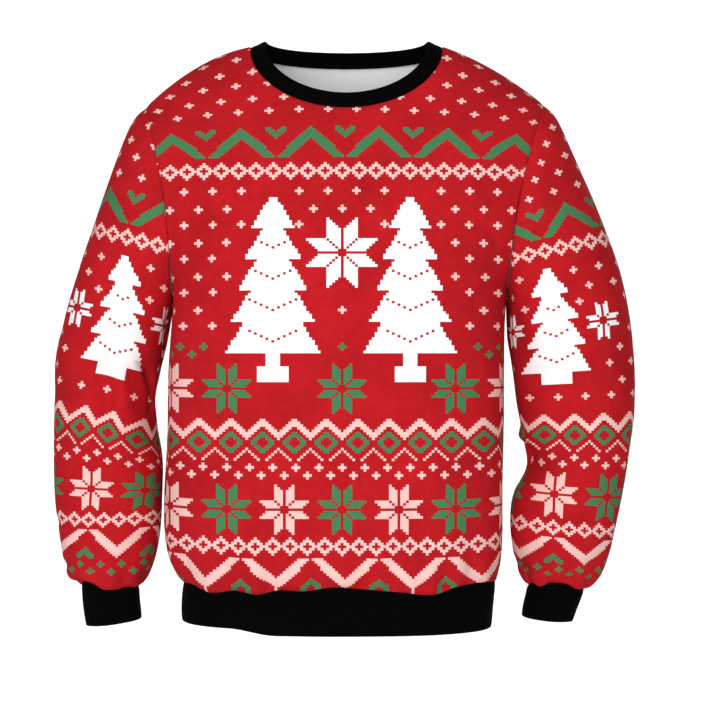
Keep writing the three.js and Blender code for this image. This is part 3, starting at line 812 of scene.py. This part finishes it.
frontPrint = printedCloth("printed jersey, front", body, bodyPicture, (1,))
backPrint = printedCloth("printed jersey, back", body, None, ())
armPrints = {
    "right": printedCloth("printed jersey, right sleeve", arm, armPicture, (-1, 1)),
    "left": printedCloth("printed jersey, left sleeve", otherArm, armPicture, (-1, 1)),
}
whiteInside = jersey("unprinted inside", plainCloth["inside"])
blackBand = jersey("black band", plainCloth["band"])
print("cloth materials made")


def makeShell(name, outer, inner, closed, uv, finishes, freeBottom=False, freeTop=False):
    rowCount, columnCount = outer.shape[:2]
    spans = columnCount if closed else columnCount - 1
    shift = rowCount * columnCount
    points = [outer.reshape(-1, 3), inner.reshape(-1, 3)]
    faces, corners, finish = [], [], []

    def outside(row, column):
        return row * columnCount + column % columnCount

    for row in range(rowCount - 1):
        for column in range(spans):
            a, b = outside(row, column), outside(row, column + 1)
            c, d = outside(row + 1, column + 1), outside(row + 1, column)
            places = [(row, column), (row, column + 1), (row + 1, column + 1), (row + 1, column)]
            faces.append((a, b, c, d))
            corners.extend(places)
            faces.append((a + shift, d + shift, c + shift, b + shift))
            corners.extend([places[0], places[3], places[2], places[1]])
            finish.extend([0, 1])
    # the edges: a free edge rounds out a little, a seam's edge stays flat
    base = 2 * shift
    for row, past, free in ((0, 1, freeBottom), (rowCount - 1, rowCount - 2, freeTop)):
        middle = (outer[row] + inner[row]) / 2
        if free:
            reach = np.linalg.norm(outer[row] - inner[row], axis=-1, keepdims=True)
            middle = middle + unit(outer[row] - outer[past]) * reach * 0.4
        points.append(middle)
        for column in range(spans):
            following = (column + 1) % columnCount
            a, b = outside(row, column), outside(row, following)
            m, n = base + column, base + following
            pair = [(row, column), (row, column + 1)]
            if row == 0:
                faces.extend([(a, m, n, b), (m, a + shift, b + shift, n)])
                corners.extend([pair[0], pair[0], pair[1], pair[1]] * 2)
            else:
                faces.extend([(a, b, n, m), (m, n, b + shift, a + shift)])
                corners.extend([pair[0], pair[1], pair[1], pair[0]] * 2)
            finish.extend([0, 0])
        base += columnCount
    if not closed:
        end = columnCount - 1
        for row in range(rowCount - 1):
            low, high = outside(row, 0), outside(row + 1, 0)
            faces.append((low, high, high + shift, low + shift))
            corners.extend([(row, 0), (row + 1, 0), (row + 1, 0), (row, 0)])
            low, high = outside(row, end), outside(row + 1, end)
            faces.append((low, low + shift, high + shift, high))
            corners.extend([(row, end), (row, end), (row + 1, end), (row + 1, end)])
            finish.extend([0, 0])
    mesh = bpy.data.meshes.new(name)
    mesh.from_pydata((np.concatenate(points) * metre).tolist(), [], faces)
    for material in finishes:
        mesh.materials.append(material)
    mesh.polygons.foreach_set("material_index", finish)
    mesh.polygons.foreach_set("use_smooth", [True] * len(faces))
    layer = mesh.uv_layers.new(name="cloth")
    index = np.array(corners)
    layer.data.foreach_set("uv", uv[index[:, 0], index[:, 1]].ravel().astype(np.float32))
    mesh.update()
    piece = bpy.data.objects.new(name, mesh)
    bpy.context.collection.objects.link(piece)
    return piece


creaseDepth = 1.5  # makes all fine creases and gathers deeper or flatter
seamDip = {"depth": 1.1, "width": 3.2, "gathered": 0.6, "under": 0.7}
calmEdge = {"panel": 14, "side": 10, "sleeve": 12}  # creases fade out this near to a seam
bandDip = {"depth": 0.6, "width": 2.5}  # a band turns in along its seam
seamTuck = {"reach": 2.5, "under": 1.9}  # the sewn edge goes on under its neighbour


def tuckRow(outer, inner, uv, start=False, reach=seamTuck["reach"]):
    at, past = (0, 3) if start else (-1, -4)
    onward = unit(outer[at] - outer[past]) * reach
    under = unit(inner[at] - outer[at]) * seamTuck["under"]
    grown = []
    for rows in (outer, inner):
        extra = (rows[at] + onward + under)[None]
        grown.append(np.concatenate([extra, rows] if start else [rows, extra]))
    grown.append(np.concatenate([uv[:1], uv] if start else [uv, uv[-1:]]))
    return grown


def tuckSides(outer, inner, uv):
    for start in (True, False):
        turned = [grid.swapaxes(0, 1) for grid in (outer, inner, uv)]
        outer, inner, uv = (grid.swapaxes(0, 1) for grid in tuckRow(*turned, start))
    return outer, inner, uv


def dip(distance):  # the cloth turns in where it is sewn
    return -seamDip["depth"] * np.exp(-((distance / seamDip["width"]) ** 2))


def columnPlaces():
    inner = np.linspace(0, neck["share"], meshRows["neck"] + 1)
    outer = np.linspace(neck["share"], 1, meshRows["shoulder"] + 1)[1:]
    half = np.concatenate([inner, outer])
    return np.concatenate([-half[:0:-1], half])


places = columnPlaces()


def panelGrid(facing):
    size = np.abs(places)
    isRight = places < 0
    side = np.where(isRight, -1, 1)
    folds = frontFolds if facing < 0 else backFolds
    t = (np.arange(meshRows["lower"]) / meshRows["lower"])[:, None]
    z = mix(cut["hemZ"], cut["underarmZ"], t**1.25) * np.ones_like(places)
    lower = sectionPoint(bodySections, places[None, :], z, facing)
    lower[..., 2] += hemWave(lower[..., 0], facing) * (1 - t) ** 6
    t = (np.arange(meshRows["upper"] + 1) / meshRows["upper"])[:, None]
    seamUp = (1 - np.cos(t * math.pi)) / 2
    onNeck = size <= neck["share"]
    seam = neckPoint(np.clip(places / neck["share"], -1, 1), facing)
    along = np.clip((size - neck["share"]) / (1 - neck["share"]), 0, 1)
    topX = mix(neck["x"] + side * neck["half"], side * pick(isRight, "shoulder", 0), along)
    topZ = np.where(along == 1, pick(isRight, "shoulder", 1), shoulderLine(topX))
    topX = np.where(onNeck, seam[:, 0], topX)
    topZ = np.where(onNeck, seam[:, 2], topZ)
    crowding = mix(1.3, 1.7, np.minimum(size / neck["share"], 1))
    up = mix(1 - (1 - t) ** crowding, seamUp, size**3)
    spread = np.sin(size * math.pi / 2) ** (2 / cut["roundness"])
    sideX = side * spread * armholeX(isRight, up)
    topShift = topX - side * spread * pick(isRight, "shoulder", 0)
    upper = chestPoint(sideX + topShift * up**2, mix(cut["underarmZ"], topZ, up), facing)
    rows = np.concatenate([lower, upper])
    free = 1 - size**6
    out = facing * (rows[..., 1] - cut["seamY"]) + free * straightFolds(folds, rows[..., 0], rows[..., 2])
    rows[..., 1] = cut["seamY"] + facing * np.maximum(out, cut["seamGap"] / 2)
    return rows[:, ::-1] if facing > 0 else rows


def makePanel(name, facing, finish):
    base = panelGrid(facing)
    x, z = base[..., 0], base[..., 2]
    step = np.diff(base, axis=0)
    middle = base.shape[1] // 2
    lowerRows = meshRows["lower"]
    spine = running(np.hypot(step[:lowerRows, middle, 1], step[:lowerRows, middle, 2]), 0)
    spine = spine - spine[-1]
    t = np.interp(z, z[: lowerRows + 1, middle], spine)
    upperX, upperZ = x[lowerRows:], z[lowerRows:]
    t[lowerRows:] = spineLength(upperZ, facing) + rolledExtra(upperX, upperZ, facing)
    zero = np.interp(bodyPrint["zeroZ"], z[: lowerRows + 1, middle], spine)
    share = np.clip((z - bodyPrint["droopLow"]) / (bodyPrint["droopHigh"] - bodyPrint["droopLow"]), 0, 1)
    outward = np.abs(x) / bodyPrint["droopX"]
    t = t + bodyPrint["droop"] * share ** bodyPrint["droopEase"] * outward ** bodyPrint["droopCurve"]
    back = np.abs(base[:, [middle], 1] - base[..., 1])
    spread = bodyPrint["widen"] * smooth(z, bodyPrint["widenLow"], bodyPrint["widenHigh"])
    side = x * (1 - bodyPrint["easeBack"] * back) / (1 + spread * outward)
    # stitches keep their true width where the cloth turns to the side, on the back earlier
    low, high = bodyPrint["turnFront"] if facing < 0 else bodyPrint["turnBack"]
    turned = smooth(np.abs(gridNormals(base, False)[..., 0]), low, high)
    s = acrossPrint(base, side, turned)
    s = s - s[:, [middle]] + side[:, [middle]]
    isRight = s < 0 if facing < 0 else s > 0
    stitch = np.where(isRight, bodyPrint["stitchRight"], bodyPrint["stitchLeft"])
    uv = np.stack([s / stitch + bodyPrint["shift"], (zero - t) / bodyPrint["row"]], -1)

    along = running(np.linalg.norm(np.diff(base, axis=1), axis=-1), 1)
    fromSide = np.minimum(along, along[:, -1:] - along)
    rise = running(np.linalg.norm(step, axis=-1), 0)
    fromTop, fromHem = rise[-1] - rise, rise
    edge = np.minimum(np.minimum(fromSide, fromTop), fromHem)
    calm = 1 - np.exp(-((edge / calmEdge["panel"]) ** 2))
    fine = frontCreases if facing < 0 else backCreases
    hem = frontGathers if facing < 0 else backGathers
    out = calm * (creaseDepth * creases(fine, x, z) + ripple(s, t, facing))
    sideways = 1 - np.exp(-((fromSide / calmEdge["side"]) ** 2))
    out = out + creaseDepth * sideways * gathers(hem, x, fromHem)
    out = out + dip(fromSide) + dip(fromTop) + seamDip["gathered"] * dip(fromHem)
    outer = base + gridNormals(base, False) * out[..., None]

    # the neckline draws back a little for the collar
    order = places[::-1] if facing > 0 else places
    neckline = np.abs(order) <= neck["share"]
    drawn = unit(outer[-1] - outer[-4]) * cut["seamGap"]
    easing = np.exp(-fromTop[..., None] / 3) * neckline[:, None]
    outer -= drawn * easing
    # a seam's edge never crosses the plane where the panels meet
    least = cut["seamGap"] / 2
    outer[..., 1] = cut["seamY"] + facing * np.maximum(facing * (outer[..., 1] - cut["seamY"]), least)

    normals = gridNormals(outer, False)
    normals[: lowerRows + 1, [0, -1], 1] = 0
    normals[-1, np.abs(order) >= neck["share"], 1] = 0
    inner = np.abs(order) < neck["share"]
    normals[-1, inner] = chestNormal(outer[-1, inner, 0], outer[-1, inner, 2], facing)
    normals[0, :, 2] = 0
    inside = outer - unit(normals) * cut["cloth"]
    if facing < 0:  # the front's edges lie under the back's at the side and shoulder seams
        outer, inside, uv = tuckSides(*tuckRow(outer, inside, uv))
    return makeShell(name, outer, inside, False, uv, [finish, whiteInside])


def ringPoint(table, edge, at, angle):
    value = {column: readTable(table, "at", column, at) for column in table if column != "at"}
    up = (1 + np.cos(angle)) / 2
    x = edge["side"] * mix(value["inX"], value["outX"], up)
    y = value["y"] - value["reach"] * np.sin(angle)
    return vec(x, y, mix(value["inZ"], value["outZ"], up))


def sleeveGrid(which, edge, at, angle):
    table = sleeveRings[which]
    points = ringPoint(table, edge, at, angle)
    share = np.maximum(1 - at / 3, 0) ** 1.5
    turned = np.mod(angle, 2 * math.pi)
    front = armholePoint(edge, 1 - np.clip(turned / math.pi, 0, 1), -1)
    back = armholePoint(edge, np.clip(turned / math.pi - 1, 0, 1), 1)
    seam = np.where((turned <= math.pi)[..., None], front, back)
    points = points + share[..., None] * (seam - ringPoint(table, edge, 0 * at, angle))
    centre = (ringPoint(table, edge, at, 0 * angle) + ringPoint(table, edge, at, 0 * angle + math.pi)) / 2
    depth = np.zeros(np.shape(at))
    for place, ring, wide, long, slant, out in sleeveFolds[which]:
        aside = np.mod(np.degrees(angle) - place + 180, 360) - 180
        along = (at - ring - aside / 90 * slant / 10) / long
        depth += out * np.exp(-((aside / wide) ** 2) - along**2)
    return points + unit(points - centre) * depth[..., None], centre


def sleeveStops(table):  # ring numbers, evenly spaced along the sleeve
    middle = (np.array(table["outZ"]) + np.array(table["inZ"])) / 2
    stops = [np.array([0.0])]
    for ring in range(14):
        count = max(4, math.ceil((middle[ring] - middle[ring + 1]) / meshRows["sleeveStep"]))
        stops.append(ring + np.arange(1, count + 1) / count)
    return np.concatenate(stops)[::-1]


def aroundRing(edge, count):  # angles from the underarm seam, running to +X on the front
    turns = np.arange(count) / count * 2 * math.pi
    return math.pi - edge["side"] * turns


tiltFade = 25  # how far either side of the middle column one tilt passes into the other


def printPlace(which, side, x, z):  # height of its row on the middle column, and how far aside
    look = sleevePrint[which]
    level = z
    for again in range(6):
        aside = side * x - readTable(look, "z", "axis", level)
        inward, outward = (readTable(look, "z", column, level) for column in ("tiltIn", "tiltOut"))
        tilt = mix(inward, outward, smooth(aside, -tiltFade, tiltFade))
        level = z - tilt * aside
    return level, side * aside * np.sqrt(1 + tilt**2)


def drawnUp(which, share):  # how far the sleeve's end is drawn up over the cuff
    lift = np.zeros(np.shape(share))
    for centre, width, height in cuffLifts[which]:
        lift += height * np.exp(-(((share - centre) / width) ** 4))
    return lift


def makeSleeve(name, which, edge):
    stops = sleeveStops(sleeveRings[which])
    angles = aroundRing(edge, meshRows["ring"])
    at, angle = np.meshgrid(stops, angles, indexing="ij")
    base, centre = sleeveGrid(which, edge, at, angle)
    look = sleevePrint[which]
    looped = np.concatenate([base, base[:, :1]], 1)
    level, aside = printPlace(which, edge["side"], looped[..., 0], looped[..., 2])
    facing = np.abs(gridNormals(base, True)[..., 1])
    turned = 1 - smooth(np.concatenate([facing, facing[:, :1]], 1), 0.25, 0.55)
    s = acrossPrint(looped, aside, turned)
    quarter = meshRows["ring"] // 4
    front = quarter if edge["side"] > 0 else 3 * quarter
    s = s - s[:, [front]] + aside[:, [front]]
    # past the table's upper end the rows go on at the same step
    past = np.maximum(level - look["z"][-1], 0) / bodyPrint["row"]
    uv = np.stack([s / look["stitch"], readTable(look, "z", "row", level) - past], -1)

    s, level = s[:, :-1], level[:, :-1]
    step = np.linalg.norm(np.diff(base, axis=0), axis=-1)
    fromCuff = running(step, 0)
    fromTop = fromCuff[-1] - fromCuff
    calm = 1 - np.exp(-((np.minimum(fromCuff, fromTop) / calmEdge["sleeve"]) ** 2))
    out = calm * (creaseDepth * creases(sleeveCreases[which], s, level) + ripple(s, level, edge["side"]))
    share = np.broadcast_to(np.arange(meshRows["ring"]) / meshRows["ring"], s.shape)
    out = out + creaseDepth * gathers(sleeveGathers, share, fromCuff)
    # distance from the sleeve's own seam
    under = np.minimum(share, 1 - share) * (s[:, [-1]] - s[:, [0]])
    out = out + dip(fromTop) + seamDip["gathered"] * dip(fromCuff) + seamDip["under"] * dip(under)
    outer = base + gridNormals(base, True) * out[..., None]
    outer[..., 2] += drawnUp(which, share) * np.exp(-((fromCuff / cuffLifts["fade"]) ** 2))

    lean = (edge["shoulder"][0] - edge["underarm"][0]) / (edge["shoulder"][1] - edge["underarm"][1])
    outward = unit(np.array([edge["side"], 0, -lean], float))
    outer[-1] += outward * cut["seamGap"]
    inward = -gridNormals(outer, True)
    back = np.minimum(inward[-1] @ outward, 0)
    inward[-1] -= back[:, None] * outward
    inward[0, :, 2] = 0
    inside = outer + unit(inward) * cut["cloth"]
    outer, inside, uv = tuckRow(outer, inside, uv)
    finish = armPrints[which]
    return makeShell(name, outer, inside, True, uv, [finish, whiteInside])


collar = {"width": 19, "rows": 14, "columns": 40, "full": 1.5, "rounding": 10, "tuck": 1.1}
# how the collar leans in and rises, at the sides and in the middle of the front and of the
# back, where the soft band sags in a little
collarStand = {
    "side": {"lean": 0.87, "rise": 0.5},
    "front": {"lean": 0.42, "rise": 0.91},
    "back": {"lean": 0.65, "rise": 0.76},
}


def makeBand(name, outer, normals=None, freeBottom=False, freeTop=False):
    if normals is None:
        normals = gridNormals(outer, True)
    inner = outer - normals * cut["band"]
    looped = np.concatenate([outer, outer[:, :1]], 1)
    step = np.linalg.norm(np.diff(looped, axis=1), axis=-1)
    rise = np.linalg.norm(np.diff(looped, axis=0), axis=-1)
    uv = np.stack([running(step, 1), running(rise, 0)], -1)
    reach = collar["tuck"] if freeTop else seamTuck["reach"]
    outer, inner, uv = tuckRow(outer, inner, uv, freeTop, reach)
    return makeShell(name, outer, inner, True, uv, [blackBand, blackBand], freeBottom, freeTop)


def edgeSoft(rowShare, depth):  # a band is a little fuller in its middle
    return depth * (1 - (2 * rowShare - 1) ** 4)


def bandTurn(distance):  # and turns in where it is sewn
    return bandDip["depth"] * np.exp(-((distance / bandDip["width"]) ** 2))


cuff = {"rows": 16, "columns": 96, "height": 40, "full": 0.7, "wave": 0.5, "flare": 0.35}


def makeCuff(name, which, edge):
    table = cuffRings[which]
    share = np.arange(cuff["rows"] + 1) / cuff["rows"]
    at, angle = np.meshgrid(table["at"][-1] * (1 - share), aroundRing(edge, cuff["columns"]), indexing="ij")
    outer = ringPoint(table, edge, at, angle)
    soft = edgeSoft(share, cuff["full"])[:, None] + cuff["wave"] * np.sin(5 * angle + 3 * at) * 0.5
    soft = soft - bandTurn((1 - share) * cuff["height"])[:, None]
    lift = drawnUp(which, np.arange(cuff["columns"]) / cuff["columns"]) * share[:, None] ** 3
    outer = outer + gridNormals(outer, True) * (soft + cuff["flare"] * lift)[..., None]
    outer[..., 2] += lift
    return makeBand(name, outer, freeBottom=True)


hemBand = {"rows": 20, "columns": 46, "height": 48, "full": 0.8}


def makeHemBand(name):
    half = np.linspace(-1, 1, 4 * hemBand["columns"] + 1)
    share = (np.arange(hemBand["rows"] + 1) / hemBand["rows"])[:, None]
    z = mix(hemSections["z"][0], cut["hemZ"], share) * np.ones_like(half)
    halves = []
    for facing in (-1, 1):
        line = sectionPoint(hemSections, half[None, :], z, facing)
        drawn = smooth(-line[..., 0], hemLift["start"], hemLift["end"])
        line[..., 2] += (
            (1 - share) * hemLift["height"] * drawn
            + share**3 * hemWave(line[..., 0], facing)
            - share * cut["seamGap"]
        )
        halves.append(line)
    outer = np.concatenate([halves[0], halves[1][:, ::-1][:, 1:-1]], 1)
    length = running(np.linalg.norm(np.diff(outer, axis=1), axis=-1), 1)
    waves = 0.5 * np.sin(length / 31 + 4 * share) + 0.4 * np.sin(length / 17)
    soft = edgeSoft(share, hemBand["full"]) + waves - bandTurn((1 - share) * hemBand["height"])
    outer = outer + gridNormals(outer, True) * soft[..., None]
    return makeBand(name, outer, freeBottom=True)


def makeCollar(name):
    steps = np.arange(-collar["columns"], collar["columns"]) / collar["columns"]
    turn = np.concatenate([steps, -steps])
    facing = np.repeat([-1, 1], len(steps))
    points = np.where((facing < 0)[:, None], neckPoint(turn, -1), neckPoint(turn, 1))
    face = np.where(
        (facing < 0)[:, None],
        chestNormal(points[:, 0], points[:, 2], -1),
        chestNormal(points[:, 0], points[:, 2], 1),
    )
    face[np.abs(turn) == 1, 1] = 0
    face = unit(face)
    leaving = unit(np.cross(face, np.roll(points, -1, 0) - np.roll(points, 1, 0)))
    angle = turn * math.pi / 2
    front = np.cos(angle)
    lean, rise = (
        np.where(facing < 0, collarStand["front"][part], collarStand["back"][part])
        for part in ("lean", "rise")
    )
    sideways = -collarStand["side"]["lean"] * np.sin(angle)
    standing = unit(vec(sideways, -facing * lean * front, mix(collarStand["side"]["rise"], rise, front)))
    rows = []
    for row in range(collar["rows"] + 1):
        share = row / collar["rows"]
        heading = unit(mix(leaving, standing, share))
        rows.append(points + heading * mix(cut["seamGap"], collar["width"], share))
    outer = np.array(rows)
    share = np.arange(collar["rows"] + 1)[:, None] / collar["rows"]
    nearSide = (1 - np.abs(front)) ** 6
    for again in range(collar["rounding"]):  # the fold rounds off over the side neck points
        average = (np.roll(outer, 1, 1) + np.roll(outer, -1, 1)) / 2
        outer = mix(outer, average, (share * nearSide)[..., None])
    normals = gridNormals(outer, True)
    normals[0] = face
    soft = edgeSoft(share, collar["full"]) - bandTurn(share * collar["width"])
    outer = outer + normals * (soft * np.ones(len(turn)))[..., None]
    normals = gridNormals(outer, True)
    normals[0] = face
    return makeBand(name, outer, normals, freeTop=True)


# each piece: the solid it stands for, its finish, its flat cut, what it hangs from, its area
panels = ["front", "back"]
pieces = [
    (makePanel("front_cloth", -1, frontPrint), "front", "red_print", (0.56, 0.7), ["back"], 0.31),
    (makePanel("back_cloth", 1, backPrint), "back", "red_print", (0.56, 0.72), ["front"], 0.31),
]
for which, edge in (("right", rightSide), ("left", leftSide)):
    node = "sleeve_" + which
    pieces.append((makeSleeve(node + "_cloth", which, edge), node, "red_print", (0.5, 0.56), panels, 0.19))
for which, edge in (("right", rightSide), ("left", leftSide)):
    node = "cuff_" + which
    carriers = ["sleeve_" + which]
    pieces.append((makeCuff(node + "_band", which, edge), node, "black_band", (0.22, 0.042), carriers, None))
pieces += [
    (makeHemBand("hem_band_cloth"), "hem_band", "black_band", (0.98, 0.05), panels, None),
    (makeCollar("collar_band"), "collar", "black_band", (0.6, 0.024), panels, None),
]
for piece, node, slot, flat, carriers, area in pieces:
    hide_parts(node)
    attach(piece, "root")
print("eight cloth pieces made")

studio = {
    "floorZ": -1.1,
    "half": 9,
    "wallY": 5.6,
    "wallTop": 6,
    "sweep": 1.2,
    "white": (0.95, 0.95, 0.95, 1),
    "rough": 0.9,
    "sky": 0.22,
    "target": (0, 0, -0.35),
    "backdropTarget": (0, 5.4, -0.4),
    "cameraX": 0.0187,
    "cameraY": -2.4,
    "cameraZ": -0.355,
    "lens": 102.86,
}


def makeStage():
    mesh = bpy.data.meshes.new("floor")
    half, sweep = studio["half"], studio["sweep"]
    profile = [(-half, studio["floorZ"]), (studio["wallY"] - sweep, studio["floorZ"])]
    for step in range(1, 13):  # the floor sweeps up into the backdrop
        turn = step / 12 * math.pi / 2
        rise = sweep * (1 - math.cos(turn))
        profile.append((studio["wallY"] - sweep + sweep * math.sin(turn), studio["floorZ"] + rise))
    profile.append((studio["wallY"], studio["wallTop"]))
    points = [(x, y, z) for y, z in profile for x in (-half, half)]
    faces = [(2 * i, 2 * i + 1, 2 * i + 3, 2 * i + 2) for i in range(len(profile) - 1)]
    mesh.from_pydata(points, [], faces)
    mesh.polygons.foreach_set("use_smooth", [True] * len(faces))
    floor = bpy.data.objects.new("floor", mesh)
    bpy.context.collection.objects.link(floor)
    material = bpy.data.materials.new("pale floor")
    material.use_nodes = True
    shader = next(n for n in material.node_tree.nodes if n.type == "BSDF_PRINCIPLED")
    shader.inputs["Base Color"].default_value = studio["white"]
    shader.inputs["Roughness"].default_value = studio["rough"]
    mesh.materials.append(material)


lamps = [  # name, place, size, watts
    ("front soft box", (-0.35, -3.2, -0.1), 1.8, 74),
    ("top soft box", (0.0, -0.7, 2.0), 1.4, 9),
    ("left soft box", (-2.4, -1.5, 0.3), 1.4, 10),
    ("right soft box", (2.6, -1.5, 0.1), 1.4, 7),
    ("back soft box", (1.8, 2.6, 0.7), 1.6, 14),
    ("backdrop light", (0.0, 3.2, 2.2), 3.6, 130),
]


def makeLights():
    from mathutils import Vector

    for name, place, size, watts in lamps:
        data = bpy.data.lights.new(name, "AREA")
        data.size = size
        data.energy = watts
        lamp = bpy.data.objects.new(name, data)
        lamp.location = place
        target = Vector(studio["backdropTarget"] if name == "backdrop light" else studio["target"])
        lamp.rotation_euler = (target - Vector(place)).to_track_quat("-Z", "Y").to_euler()
        bpy.context.collection.objects.link(lamp)
    world = bpy.data.worlds.new("studio")
    world.use_nodes = True
    sky = world.node_tree.nodes["Background"]
    sky.inputs["Color"].default_value = (1, 1, 1, 1)
    sky.inputs["Strength"].default_value = studio["sky"]
    bpy.context.scene.world = world


def makeCamera():
    data = bpy.data.cameras.new("camera")
    data.lens = studio["lens"]
    data.sensor_width = 36
    data.sensor_fit = "HORIZONTAL"
    camera = bpy.data.objects.new("camera", data)
    camera.location = (studio["cameraX"], studio["cameraY"], studio["cameraZ"])
    camera.rotation_euler = (math.pi / 2, 0, 0)
    bpy.context.collection.objects.link(camera)
    bpy.context.scene.camera = camera


makeStage()
makeLights()
makeCamera()
bpy.context.scene.view_settings.view_transform = "Standard"
print("stage, lights and camera made")
